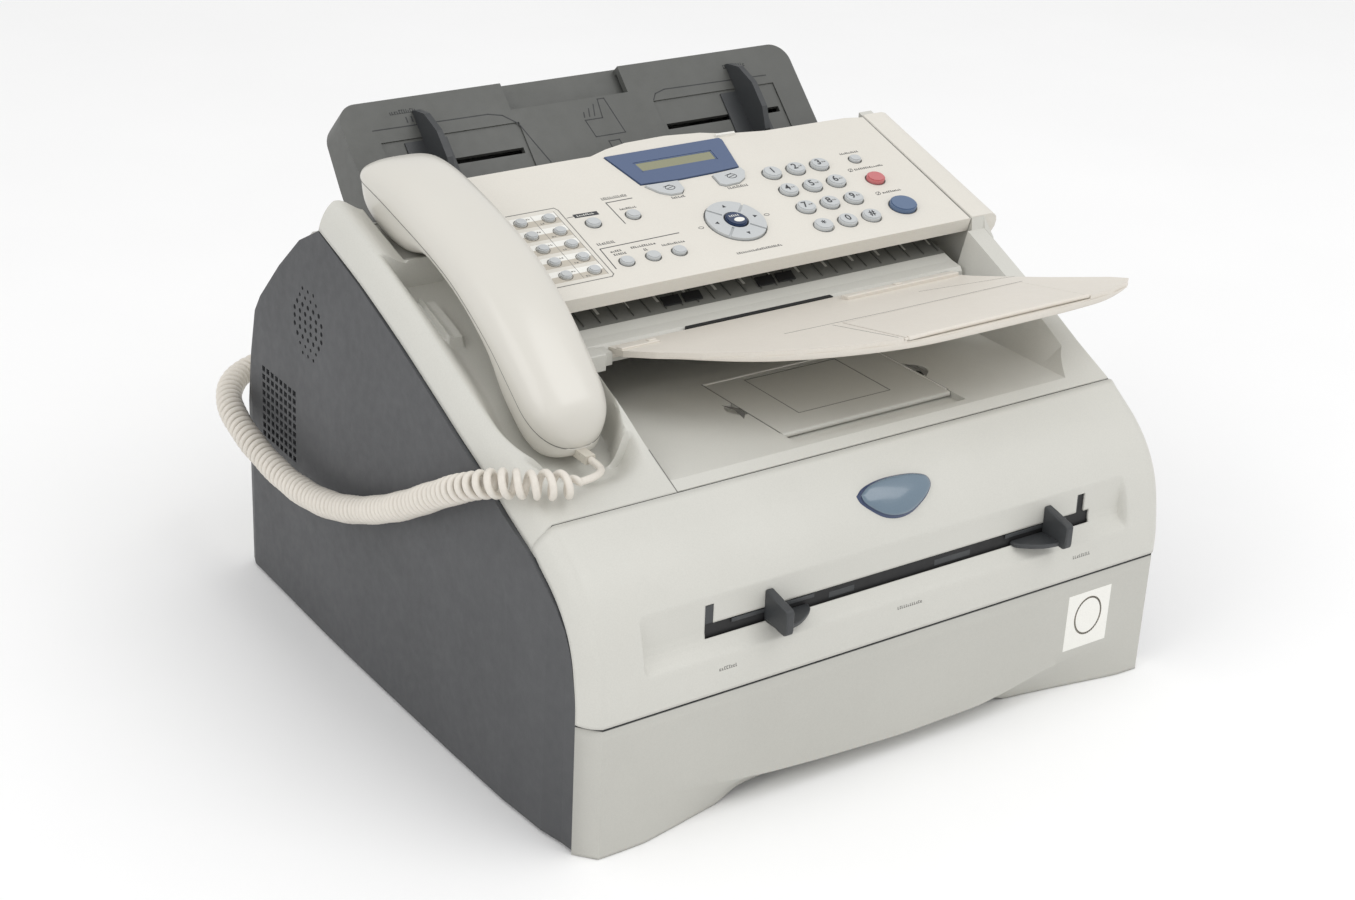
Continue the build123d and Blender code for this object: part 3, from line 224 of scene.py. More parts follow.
# ================================================================ mesh helpers
def make(name, verts, faces, mat, body=None, smooth_angle=32.0, mm=True):
    me = bpy.data.meshes.new(name)
    me.from_pydata([W(v) for v in verts] if mm else [tuple(v) for v in verts], [], faces)
    me.validate()
    bm = bmesh.new()
    bm.from_mesh(me)
    bmesh.ops.remove_doubles(bm, verts=bm.verts, dist=1e-6)
    bmesh.ops.recalc_face_normals(bm, faces=bm.faces)
    bm.to_mesh(me)
    bm.free()
    o = bpy.data.objects.new(name, me)
    scene.collection.objects.link(o)
    if mat:
        me.materials.append(mat)
    if smooth_angle:
        set_smooth(o, smooth_angle)
    if body:
        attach(o, body)
    return o


def curve_through(pts, n):
    """n points on a centripetal Catmull-Rom curve through pts."""
    p = np.array(pts, float)
    p = np.vstack([2 * p[0] - p[1], p, 2 * p[-1] - p[-2]])
    seg = []
    for i in range(1, len(p) - 2):
        p0, p1, p2, p3 = p[i - 1], p[i], p[i + 1], p[i + 2]
        t0 = 0.0
        t1 = t0 + np.linalg.norm(p1 - p0) ** 0.5
        t2 = t1 + np.linalg.norm(p2 - p1) ** 0.5
        t3 = t2 + np.linalg.norm(p3 - p2) ** 0.5
        for k in range(24):
            t = t1 + (t2 - t1) * k / 24.0
            a1 = (t1 - t) / (t1 - t0) * p0 + (t - t0) / (t1 - t0) * p1
            a2 = (t2 - t) / (t2 - t1) * p1 + (t - t1) / (t2 - t1) * p2
            a3 = (t3 - t) / (t3 - t2) * p2 + (t - t2) / (t3 - t2) * p3
            b1 = (t2 - t) / (t2 - t0) * a1 + (t - t0) / (t2 - t0) * a2
            b2 = (t3 - t) / (t3 - t1) * a2 + (t - t1) / (t3 - t1) * a3
            seg.append((t2 - t) / (t2 - t1) * b1 + (t - t1) / (t2 - t1) * b2)
    seg.append(p[-2])
    seg = np.array(seg)
    s = np.concatenate([[0], np.cumsum(np.linalg.norm(np.diff(seg, axis=0), axis=1))])
    q = np.linspace(0, s[-1], n)
    return np.stack([np.interp(q, s, seg[:, k]) for k in range(seg.shape[1])], 1)


def grid_faces(nr, nc, close_c=False, base=0):
    f = []
    for i in range(nr - 1):
        for j in range(nc if close_c else nc - 1):
            a = base + i * nc + j
            b = base + i * nc + (j + 1) % nc
            f.append((a, b, b + nc, a + nc))
    return f


def tube_mesh(path, radius, sides=12):
    """Tube along a dense path (metres) with rotation-minimising frames."""
    P = np.array(path, float)
    T = np.gradient(P, axis=0)
    T /= np.linalg.norm(T, axis=1)[:, None]
    up = np.array([0, 0, 1.0]) if abs(T[0][2]) < 0.9 else np.array([1.0, 0, 0])
    nrm = np.cross(T[0], up)
    nrm /= np.linalg.norm(nrm)
    rad = radius if hasattr(radius, "__len__") else [radius] * len(P)
    vs = []
    for i in range(len(P)):
        if i:
            nrm = nrm - T[i] * np.dot(nrm, T[i])
            nrm /= np.linalg.norm(nrm)
        bn = np.cross(T[i], nrm)
        for k in range(sides):
            a = 2 * math.pi * k / sides
            vs.append(P[i] + rad[i] * (math.cos(a) * nrm + math.sin(a) * bn))
    fs = grid_faces(len(P), sides, True)
    fs.append(tuple(range(sides))[::-1])
    fs.append(tuple(range((len(P) - 1) * sides, len(P) * sides)))
    return vs, fs


# ================================================================ handset cord
ROUTE = [(-136.0, -106.0, 168.5), (-136.0, -116.0, 168.5), (-143.6, -126.0, 171.0), (-154.4, -131.4, 172.8), (-165.0, -132.0, 172.8),
         (-183.0, -127.4, 175.6), (-197.0, -114.0, 174.2), (-203.2, -95.0, 164.6), (-204.0, -71.0, 150.0),
         (-204.2, -43.0, 132.8), (-204.0, -12.0, 116.8), (-204.1, 20.0, 103.4), (-204.0, 52.0, 94.4), (-204.2, 84.0, 90.8),
         (-204.8, 116.0, 93.4), (-204.6, 149.0, 100.0), (-198.6, 179.0, 105.6), (-179.4, 200.4, 108.8), (-152.6, 206.0, 108.0),
         (-145.6, 206.0, 108.0), (-139.5, 202.5, 108.0), (-136.0, 196.4, 108.0), (-136.0, 189.5, 108.0)]
cd = bpy.data.curves.new("route", "CURVE")
cd.dimensions = "3D"
sp = cd.splines.new("NURBS")
sp.points.add(len(ROUTE) - 1)
for q, p in zip(sp.points, ROUTE):
    q.co = W(p) + (1.0,)
sp.order_u = 3
sp.use_endpoint_u = True
sp.resolution_u = 24
route_o = bpy.data.objects.new("route", cd)
scene.collection.objects.link(route_o)
bpy.context.view_layer.update()
tmp = bpy.data.meshes.new_from_object(route_o)
line = np.array([v.co[:] for v in tmp.vertices])
bpy.data.meshes.remove(tmp)
bpy.data.objects.remove(route_o)
bpy.data.curves.remove(cd)
arc = np.concatenate([[0], np.cumsum(np.linalg.norm(np.diff(line, axis=0), axis=1))])
TOTAL = arc[-1]


def at(s):
    return np.array([np.interp(s, arc, line[:, k]) for k in range(3)])


# where the coil begins and ends along the route
near0 = np.argmin(np.linalg.norm(line - np.array(W(ROUTE[4])), axis=1))
near1 = np.argmin(np.linalg.norm(line - np.array(W(ROUTE[18])), axis=1))
S0, S1 = arc[near0] - 0.004, arc[near1] - 0.002
WIRE = 0.0038
RAD = 0.0150 / 2 - WIRE / 2
steps_s = np.linspace(0, TOTAL, 2400)
cen = np.array([at(s) for s in steps_s])
tan = np.gradient(cen, axis=0)
tan /= np.linalg.norm(tan, axis=1)[:, None]
nr = np.cross(tan[0], (0, 0, 1.0))
nr /= np.linalg.norm(nr)
frames = []
for i in range(len(cen)):
    nr = nr - tan[i] * np.dot(nr, tan[i])
    nr /= np.linalg.norm(nr)
    frames.append((nr.copy(), np.cross(tan[i], nr)))
frames = np.array(frames)


def pitch_at(s):
    """Loose turns by the handset, tight ones along the side."""
    u = (s - S0) * 1000
    if u < 70:
        return 0.0086 - 0.0039 * (u / 70.0) ** 0.7
    return 0.0047


helix = []
s, phi = 0.0, 2.2
while s < TOTAL - 1e-6:
    if s < S0 - 0.004 or s > S1:
        ds = 0.0008
        amp = 0.0
        dphi = 0.0
    else:
        p = pitch_at(max(s, S0))
        ds = p / 26.0
        dphi = 2 * math.pi / 26.0
        amp = 1.0
    a_in = min(max((s - (S0 - 0.004)) / 0.010, 0), 1)
    a_out = min(max((S1 - s) / 0.006, 0), 1)
    amp = (a_in ** 2 * (3 - 2 * a_in)) * (a_out ** 2 * (3 - 2 * a_out))
    i = np.interp(s, steps_s, np.arange(len(steps_s)))
    i0 = int(min(i, len(steps_s) - 2))
    f = i - i0
    c = cen[i0] * (1 - f) + cen[i0 + 1] * f
    n1 = frames[i0][0] * (1 - f) + frames[i0 + 1][0] * f
    n2 = frames[i0][1] * (1 - f) + frames[i0 + 1][1] * f
    u = (s - S0) * 1000
    wob = 1.0 + 0.03 * math.sin(u * 0.21) + 0.02 * math.sin(u * 0.057 + 1.3)
    if u < 34:
        wob += 0.10 * math.sin(u * 0.45 + 0.6) * (1 - u / 34.0)
    r = RAD * amp * min(wob, 1.04)
    helix.append(c + r * (math.cos(phi) * n1 + math.sin(phi) * n2))
    s += ds
    phi += dphi
helix.append(at(TOTAL))
helix = np.array(helix)
vs, fs = tube_mesh(helix, WIRE / 2, 10)
cord = make("curly_cord", vs, fs, M["cord"], smooth_angle=None, mm=False)
for p in cord.data.polygons:
    p.use_smooth = True
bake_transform(cord)
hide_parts("handset_cord")

# ================================================================ replaced shapes
SH = [(79.0, 249.6), (33.0, 235.2), (-9.0, 218.8), (-29.0, 210.0), (-49.0, 201.0), (-69.0, 191.8),
      (-88.0, 183.6), (-113.0, 170.5), (-138.9, 158.4)]
FC = [(-140.0, 158.1), (-148.0, 153.0), (-160.0, 144.5), (-170.0, 134.5), (-177.5, 123.0), (-182.5, 110.0),
      (-185.6, 95.0), (-187.2, 82.0), (-187.4, 73.0)]
FS = [(-135.8, 147.4), (-143.0, 141.0), (-152.5, 134.5), (-160.5, 127.5), (-167.5, 118.5), (-172.5, 107.5),
      (-175.4, 94.0), (-177.0, 82.0), (-177.2, 73.0)]


def sstep(a, b, v):
    t = np.clip((v - a) / (b - a), 0.0, 1.0)
    return t * t * (3 - 2 * t)


def lines(*segs):
    """Grid lines: (from, to, step) runs joined without repeats."""
    out = []
    for a, b, st in segs:
        n = max(1, int(round(abs(b - a) / st)))
        v = np.linspace(a, b, n + 1)
        if out and abs(out[-1] - v[0]) < 1e-9:
            v = v[1:]
        out += list(v)
    return np.array(out)


def rrect(x, y, x0, x1, y0, y1, r):
    """Signed distance to a rounded rectangle, negative inside."""
    cx_, cy_, hx, hy = (x0 + x1) / 2, (y0 + y1) / 2, (x1 - x0) / 2 - r, (y1 - y0) / 2 - r
    dx, dy = np.abs(x - cx_) - hx, np.abs(y - cy_) - hy
    return np.hypot(np.maximum(dx, 0), np.maximum(dy, 0)) + np.minimum(np.maximum(dx, dy), 0) - r


def shell(name, P, mat, body, keep=None, thick=2.4, angle=40.0, sign=-1.0):
    """Sheet of a grid of points (rows, columns, 3), given a thickness behind it. keep says which cells stay."""
    nr_, nc_ = P.shape[:2]
    fs_ = []
    for i in range(nr_ - 1):
        for j in range(nc_ - 1):
            if keep is None or keep[i, j]:
                a = i * nc_ + j
                fs_.append((a, a + 1, a + nc_ + 1, a + nc_))
    me = bpy.data.meshes.new(name)
    me.from_pydata([W(v) for v in P.reshape(-1, 3)], [], fs_)
    bm = bmesh.new()
    bm.from_mesh(me)
    bmesh.ops.delete(bm, geom=[v for v in bm.verts if not v.link_faces], context="VERTS")
    bm.to_mesh(me)
    bm.free()
    o = bpy.data.objects.new(name, me)
    scene.collection.objects.link(o)
    me.materials.append(mat)
    for p in me.polygons:
        p.use_smooth = True
    set_smooth(o, angle)
    if thick:
        so = o.modifiers.new("wall", "SOLIDIFY")
        so.thickness = thick / 1000.0
        so.offset = sign
        so.use_even_offset = False
    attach(o, body)
    return o


def edge_round(u, drop, across=9.0):
    """Corner between a front surface and a side: offsets (out, back) for u in 0..1."""
    a = u * math.pi / 2
    o = 0.45 * u + 0.55 * np.sin(a)
    bk = 0.45 * u + 0.55 * (1 - np.cos(a))
    return across * o, drop * bk


# ---------------------------------------------------------------- handset
PART = [(96.0, 258.5), (81.0, 255.8), (62.0, 252.0), (41.0, 247.0), (15.0, 240.5), (-11.0, 232.0), (-31.0, 222.0),
        (-50.0, 210.0), (-63.0, 199.5), (-75.0, 189.5), (-87.0, 179.5), (-97.0, 171.5)]
CROWN = [(93.0, 264.8), (79.5, 267.6), (60.0, 268.4), (37.0, 265.0), (10.0, 258.5), (-17.0, 249.5), (-38.5, 239.5),
         (-58.0, 227.0), (-72.0, 216.0), (-85.0, 204.5), (-96.0, 192.0), (-101.5, 178.5)]
BELLY = [(91.0, 246.0), (82.0, 236.5), (66.0, 229.0), (46.0, 227.5), (17.0, 234.2), (-8.5, 225.8), (-27.5, 216.0),
         (-44.5, 201.5), (-54.0, 185.0), (-66.0, 174.0), (-80.0, 165.0), (-95.0, 161.5)]
HS_C = -136.0
NS_ = 130
part_c = curve_through(PART, NS_)
crown_c = curve_through([(94.4, 263.2)] + CROWN[1:-1] + [(-100.8, 180.0)], NS_)
belly_c = curve_through(BELLY, NS_)
# distances from both ends along the handset
dcum = np.concatenate([[0], np.cumsum(np.linalg.norm(np.diff(part_c, axis=0), axis=1))])
L_HS = dcum[-1]


def end_shape(d, r, p):
    """0 at the end, 1 from distance r on, like a superellipse quarter."""
    t = np.clip(d / r, 0, 1)
    return (1 - (1 - t) ** p) ** (1 / p)


u_all = dcum / L_HS
hw = 23.9 - 1.6 * sstep(0.55, 1.0, u_all)                       # a little narrower at the mouth
w_end = end_shape(dcum, 20.0, 2.9) * end_shape(L_HS - dcum, 30.0, 2.3)
h_end = end_shape(dcum, 13.0, 2.4) * end_shape(L_HS - dcum, 17.0, 2.2)
# cluster stations near the ends so that the noses stay round
q = np.linspace(0, 1, 150)
q = (np.sin((q - 0.5) * math.pi) + 1) / 2 * 0.75 + q * 0.25
sta = q * L_HS


def along(arr):
    return np.stack([np.interp(sta, dcum, arr[:, k]) for k in range(arr.shape[1])], 1)


Pp, Pc, Pb = along(part_c), along(crown_c), along(belly_c)
hw_s = np.interp(sta, dcum, hw)
we = end_shape(sta, 20.0, 2.9) * end_shape(L_HS - sta, 30.0, 2.3)
he = end_shape(sta, 13.0, 2.4) * end_shape(L_HS - sta, 17.0, 2.2)


def hs_half(line, nx, nh, thetas, inset, lift_):
    rows = []
    for k in range(len(sta)):
        w = max(hw_s[k] - inset, 0.5) * max(we[k], 0.0)
        hv = line[k] - Pp[k]
        row = []
        for th in thetas:
            c, s_ = math.cos(th), math.sin(th)
            xx = HS_C + w * (abs(c) ** (2 / nx)) * (1 if c >= 0 else -1)
            hh = (abs(s_) ** (2 / nh)) * he[k]
            row.append((xx, Pp[k][0] + hv[0] * hh, Pp[k][1] + hv[1] * hh + lift_))
        rows.append(row)
    return np.array(rows)


def capped(rows, name, mat, body):
    nr_, nc_ = rows.shape[:2]
    fs_ = grid_faces(nr_, nc_)
    # close along the rim: straight cells from the last column back to the first
    for i in range(nr_ - 1):
        fs_.append((i * nc_ + nc_ - 1, i * nc_, (i + 1) * nc_, (i + 1) * nc_ + nc_ - 1))
    fs_.append(tuple(range(nc_)))
    fs_.append(tuple(range((nr_ - 1) * nc_, nr_ * nc_))[::-1])
    return make(name, rows.reshape(-1, 3), fs_, mat, body, smooth_angle=50.0)


th_up = np.linspace(0, math.pi, 41)
up_rows = hs_half(Pc, 2.9, 2.3, th_up, 0.0, 0.0)
hs_up = capped(up_rows, "handset_shell_upper", M["handset"], "handset")
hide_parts("handset_upper")
soften(hs_up, 0.0005, 2, 50)
lo_rows = hs_half(Pb, 4.0, 3.4, th_up, 0.7, -0.45)
hs_lo = capped(lo_rows, "handset_shell_lower", M["handset"], "handset")
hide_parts("handset_lower")
soften(hs_lo, 0.0005, 2, 50)

# ---------------------------------------------------------------- handset cradle: one flowing surface
ys = lines((79.0, 38.0, 2.0), (38.0, 28.0, 0.4), (28.0, 14.0, 0.7), (14.0, -22.0, 1.2), (-22.0, -138.9, 1.3))
xs = lines((-178.0, -154.0, 0.75), (-154.0, -112.0, 1.5), (-112.0, -107.4, 0.5))
sh_y = np.array([p[0] for p in SH][::-1])
sh_z = np.array([p[1] for p in SH][::-1])
sc_ = curve_through(SH, 200)


def sh_at(y):
    return np.interp(y, sc_[::-1, 0], sc_[::-1, 1])


part_y, part_z = part_c[::-1, 0], part_c[::-1, 1]
Y, X = np.meshgrid(ys, xs, indexing="ij")
base = sh_at(Y)
# floor: finger trough, then a bowl that runs under the mouth end and out to the cord
tr = curve_through([(33.0, 214.5), (20.0, 211.0), (-9.0, 203.0), (-35.0, 193.0), (-52.0, 184.0), (-66.0, 172.6), (-80.0, 163.4), (-92.0, 159.6),
                    (-104.0, 158.9), (-118.0, 158.8), (-139.0, 158.0)], 160)
floor_z = np.minimum(np.interp(Y, tr[::-1, 0], tr[::-1, 1]), base)
pad_z = np.interp(Y, [33.0, 46.0, 66.0, 82.0, 91.0], [229.0, 225.0, 226.6, 233.6, 243.0])


def outline_d(x, y, fy):
    """Distance outside the handset's plan outline; fy stretches the bowl towards the front."""
    dy = np.maximum(-(y + 79.5), 0) * fy
    dx = np.maximum(np.abs(x - HS_C) - 2.0, 0)
    return np.where(y < -79.5, np.hypot(dx, dy) - 22.0, np.abs(x - HS_C) - 24.0)


d_out = outline_d(X, Y, np.where(Y < -101.5, 0.74, 1.0))
ex_, ey_ = np.maximum(X - HS_C, 0.0), np.maximum(-(Y + 79.5), 0.0)
to_right = ex_ / np.maximum(np.hypot(ex_, ey_), 1e-6)
reach = 17.4 - 12.6 * sstep(0.35, 0.95, to_right)
Z = floor_z + (base - floor_z) * sstep(0.4, reach, d_out)
rear_in = np.abs(X - HS_C) - 24.0
slope_z = base - 7.5 * (1 - sstep(0.0, 16.5, rear_in))
rear_z = pad_z + (slope_z - pad_z) * sstep(-0.6, 1.0, rear_in)
Z = np.where(Y > 32.6, rear_z, Z)
# raised pad on the trough floor
pad = -rrect(X, Y, -166.5, -155.5, -20.0, 12.0, 1.4)
Z = Z + np.where(Y < 32.0, 5.5 * sstep(0.0, 1.5, pad), 0.0)
Z = np.maximum(Z, 157.4)
Pc_ = np.stack([X, Y, Z], 2)
# edge band to the side seam
nb = 7
band_cols = []
for k in range(nb, 0, -1):
    o_, b_ = edge_round(k / nb, 14.5)
    band_cols.append(np.stack([np.full(len(ys), -178.0 - o_), ys + 0.0, sh_at(ys) - b_], 1))
band_cols = np.stack(band_cols, 1)
full = np.concatenate([band_cols, Pc_], 1)
# right side: down to the recess floor
down = np.stack([np.stack([np.full(len(ys), -107.4), ys, np.minimum(full[:, -1, 2], z_)], 1)
                 for z_ in (None,)] if False else [np.stack([np.full(len(ys), -107.4), ys, np.minimum(full[:, -1, 2] - 1.0, 1e3)], 1)], 1)
low = np.stack([np.full(len(ys), -107.4), ys, np.minimum(full[:, -1, 2] - 1.2, np.where(ys < -28.6, 158.0, 200.0))], 1)[:, None, :]
full = np.concatenate([full, low], 1)
# rear wall down
rear_row = full[:1].copy()
rear_row[:, :, 2] -= 22.0
rear_row[:, :, 2] = np.maximum(rear_row[:, :, 2], 200.0)
full = np.concatenate([rear_row, full], 0)
crad = shell("cradle_surface", full, M["light_body"], "machine", thick=2.2, angle=48.0, sign=1.0)
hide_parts("handset_cradle")

# ---------------------------------------------------------------- front cover
fcc, fsc = curve_through(FC, 400), curve_through(FS, 400)
# rows by height: dense where the feed recess is
zrow = lines((158.5, 126.0, 2.2), (126.0, 90.0, 0.75), (90.0, 73.0, 1.7))
sl = (-118.0, 126.0, 103.4, 117.2)
for z_ in (106.9, 99.6, 117.2):
    zrow[np.argmin(np.abs(zrow - z_))] = z_
xcol = lines((-178.0, -160.0, 3.0), (-160.0, -108.0, 0.9), (-108.0, 114.0, 4.0), (114.0, 162.0, 0.9), (162.0, 178.0, 3.0))
for x_ in (-116.0, -111.0, 124.6, 130.0, 134.0):
    xcol[np.argmin(np.abs(xcol - x_))] = x_
yfc = np.interp(zrow, fcc[::-1, 1], fcc[::-1, 0])
ZZ, XX = np.meshgrid(zrow, xcol, indexing="ij")
YY = np.repeat(yfc[:, None], len(xcol), 1)
d_in = -rrect(XX, ZZ, -154.5, 158.0, 88.0, 126.5, 9.0)
y_floor = np.interp(ZZ, [88.0, 91.6, 94.0, 97.0, 99.6, 103.0, 124.0], [-188.4, -186.6, -183.9, -180.9, -179.3, -178.6, -178.2])
w_in = sstep(0.0, 2.4, d_in)
YY = YY + (np.maximum(y_floor, YY) - YY) * w_in
rows = np.stack([XX, YY, ZZ], 2)
keep = np.ones((len(zrow) - 1, len(xcol) - 1), bool)
zm = (zrow[1:] + zrow[:-1]) / 2
xm = (xcol[1:] + xcol[:-1]) / 2
in_z = (zm[:, None] < 106.9) & (zm[:, None] > 99.6)
in_x = (xm[None, :] > -116.0) & (xm[None, :] < 134.0)
keep &= ~(in_z & in_x)
in_z2 = (zm[:, None] < 117.2) & (zm[:, None] > 99.6)
in_x2 = ((xm[None, :] > -116.0) & (xm[None, :] < -111.0)) | ((xm[None, :] > 124.6) & (xm[None, :] < 130.0))
keep &= ~(in_z2 & in_x2)
tf = np.linspace(0, 1, len(fcc))
trow = np.interp(zrow, fcc[::-1, 1], tf[::-1])
fy_s, fz_s = np.interp(trow, tf, fsc[:, 0]), np.interp(trow, tf, fsc[:, 1])
left, right = [], []
for k in range(1, nb + 1):
    u = k / nb
    a = u * math.pi / 2
    ox = 9.0 * (0.5 * u + 0.5 * math.sin(a))
    bk = 0.5 * u + 0.5 * (1 - math.cos(a))
    yy = yfc + (fy_s - yfc) * bk
    zz = zrow + (fz_s - zrow) * bk
    right.append(np.stack([np.full(len(zrow), 178.0 + ox), yy, zz], 1))
    left.insert(0, np.stack([np.full(len(zrow), -178.0 - ox), yy, zz], 1))
rows = np.concatenate([np.stack(left, 1), rows, np.stack(right, 1)], 1)
keep = np.concatenate([np.ones((len(zrow) - 1, nb), bool), keep, np.ones((len(zrow) - 1, nb), bool)], 1)
front = shell("front_cover_surface", rows, M["light_body"], "front_door", keep, thick=1.5, angle=50.0, sign=1.0)
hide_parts("front_cover")

# ---------------------------------------------------------------- paper cassette: smooth front with a hollow under a soft crease
zs_x = np.array([-152.0, -139.0, -120.0, -95.0, -77.0, -45.0, 7.5, 60.0, 80.0, 104.0, 133.0, 155.0, 166.0])
zs_z = np.array([25.4, 24.4, 22.4, 18.9, 16.4, 14.0, 11.5, 12.2, 15.0, 19.8, 23.8, 27.5, 28.6])
zs_d = np.array([0.0, 2.6, 6.4, 11.6, 14.6, 15.4, 15.6, 15.4, 14.6, 11.2, 6.0, 1.8, 0.0])
ccol = lines((-178.0, -152.0, 4.0), (-152.0, 166.0, 2.0), (166.0, 178.0, 4.0))
c_top = np.interp(ccol, zs_x, zs_z)
c_dep = np.interp(ccol, zs_x, zs_d)
ker = np.hanning(11) / np.hanning(11).sum()
c_top = np.convolve(np.pad(c_top, 5, mode="edge"), ker, mode="valid")
c_dep = np.convolve(np.pad(c_dep, 5, mode="edge"), ker, mode="valid")
c_low = 0.4 + 4.2 * sstep(-104.0, -86.0, ccol) * (1 - sstep(78.0, 94.0, ccol))
q_up = np.linspace(0, 1, 9)
q_dn = np.linspace(0, 1, 17)[1:]
crow = []
for q_ in q_up:
    crow.append(np.stack([ccol, np.full(len(ccol), -187.4), 71.6 + (c_top - 71.6) * q_], 1))
for q_ in q_dn:
    g_ = 0.35 * q_ + 0.65 * math.sin(q_ * math.pi / 2)
    crow.append(np.stack([ccol, -187.4 + c_dep * g_, c_top + (c_low - c_top) * q_], 1))
crow = np.stack(crow, 0)
lft = np.stack([np.full(len(crow), -186.9), np.full(len(crow), -177.1), crow[:, 0, 2]], 1)[:, None]
rgt = np.stack([np.full(len(crow), 186.9), np.full(len(crow), -177.1), crow[:, -1, 2]], 1)[:, None]
crow = np.concatenate([lft, crow, rgt], 1)
cas = shell("cassette_front_surface", crow, M["cassette_body"], "cassette", thick=2.0, angle=30.0, sign=1.0)
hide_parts("paper_cassette")

# ================================================================ flat marks and small pieces
PA = math.radians(16.9)


def PPt(x, s, h):
    """Point on the control panel: x across, s up the slope, h out of it, in working millimetres."""
    return (x, -27.9 + s * math.cos(PA) - h * math.sin(PA), 217.1 + s * math.sin(PA) + h * math.cos(PA))


def TPt(x, s, h):
    """Point on the document tray's face."""
    a = math.radians(45.0)
    return (x, 133.0 + s * math.cos(a) - h * math.sin(a), 281.0 + s * math.sin(a) + h * math.cos(a))


def FLt(x, y, h):
    return (x, y, h)


def WGt(x, y, h):
    """Point on the document support's upper face."""
    return (x, y, 192.0 - 0.2 * (y + 35.0) + h)


def decal(name, loops, mat, body, T, h=0.06, depth=0.12):
    """Thin printed or raised shapes: closed loops of (a, b) lifted to height h over the surface T."""
    vs, fs = [], []
    for lp in loops:
        area2 = sum(lp[i][0] * lp[(i + 1) % len(lp)][1] - lp[(i + 1) % len(lp)][0] * lp[i][1] for i in range(len(lp)))
        if area2 < 0:
            lp = lp[::-1]
        b, n = len(vs), len(lp)
        vs += [T(p[0], p[1], h) for p in lp] + [T(p[0], p[1], h - depth) for p in lp]
        fs.append(tuple(range(b, b + n)))
        fs += [(b + i, b + n + i, b + n + (i + 1) % n, b + (i + 1) % n) for i in range(n)]
    me = bpy.data.meshes.new(name)
    me.from_pydata([W(v) for v in vs], [], fs)
    me.validate()
    o = bpy.data.objects.new(name, me)
    scene.collection.objects.link(o)
    me.materials.append(mat)
    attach(o, body)
    return o


def stroke(pts, w):
    out = []
    for (a, b), (c, d) in zip(pts[:-1], pts[1:]):
        L = math.hypot(c - a, d - b) or 1.0
        nx_, ny_ = -(d - b) / L * w / 2, (c - a) / L * w / 2
        ex, ey = (c - a) / L * w / 2, (d - b) / L * w / 2
        out.append([(a - ex + nx_, b - ey + ny_), (a - ex - nx_, b - ey - ny_), (c + ex - nx_, d + ey - ny_), (c + ex + nx_, d + ey + ny_)])
    return out


def ellipse(x, s, a, b, n=32, t0=0.0, t1=2 * math.pi):
    return [(x + a * math.cos(t0 + (t1 - t0) * i / n), s + b * math.sin(t0 + (t1 - t0) * i / n)) for i in range(n)]


def words(x0, x1, s, hgt=1.3, slope=0.0, seed=3):
    """A plain row of small marks where the real part has a printed word."""
    out, x, k = [], x0, seed
    while x < x1 - 0.4:
        k = (k * 37 + 11) % 97
        w = 0.75 + 0.40 * (k % 5) / 4
        hh = hgt * (1.0 if k % 3 else 0.72)
        y = s + (x - x0) * slope
        out.append([(x, y), (x + w, y), (x + w, y + 0.42), (x, y + 0.42)])
        out.append([(x, y), (x + 0.42, y), (x + 0.42, y + hh), (x, y + hh)])
        if k % 2:
            out.append([(x, y + hh - 0.4), (x + w, y + hh - 0.4), (x + w, y + hh), (x, y + hh)])
        x += w + 0.45
    return out


def digit(name, ch, x, s, size, mat, body, h):
    cu = bpy.data.curves.new(name, "FONT")
    cu.body = ch
    cu.size = size
    cu.align_x = "CENTER"
    cu.align_y = "CENTER"
    cu.resolution_u = 4
    cu.offset = 0.10
    o = bpy.data.objects.new(name + "_c", cu)
    scene.collection.objects.link(o)
    bpy.context.view_layer.update()
    me = bpy.data.meshes.new_from_object(o)
    bpy.data.objects.remove(o)
    bpy.data.curves.remove(cu)
    for v in me.vertices:
        v.co = W(PPt(x + v.co.x, s + v.co.y, h))
    me.name = name
    ob = bpy.data.objects.new(name, me)
    scene.collection.objects.link(ob)
    me.materials.clear()
    me.materials.append(mat)
    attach(ob, body)
    return ob


M["ink"] = plastic("M_ink", (52, 54, 58), (0.5, 0.6), 6, bump=0.02)
M["paper"] = plastic("M_paper", (240, 239, 233), (0.5, 0.6), 3, bump=0.02)
M["beige"] = plastic("M_beige", (196, 189, 176), (0.5, 0.6), 3, bump=0.02)
# grey for real seams, moulded lines and small print, and painted shade in the output flap's finger notches
M["seam"] = plastic("M_seam", (120, 119, 115), (0.5, 0.6), 4, bump=0.02)
# the next two colours are painted shade on the document chute: dark rib lines, and the sheet under the panel's overhang
M["rib"] = plastic("M_rib", (96, 96, 92), (0.45, 0.55), 4, bump=0.05)
M["shade"] = plastic("M_shade", (118, 118, 113), (0.45, 0.55), 4, bump=0.05)
# pale: the latch tab's colour, and a painted highlight on the output flap's raised edge
M["pale"] = plastic("M_pale", (232, 230, 224), (0.4, 0.5), 3, bump=0.03)

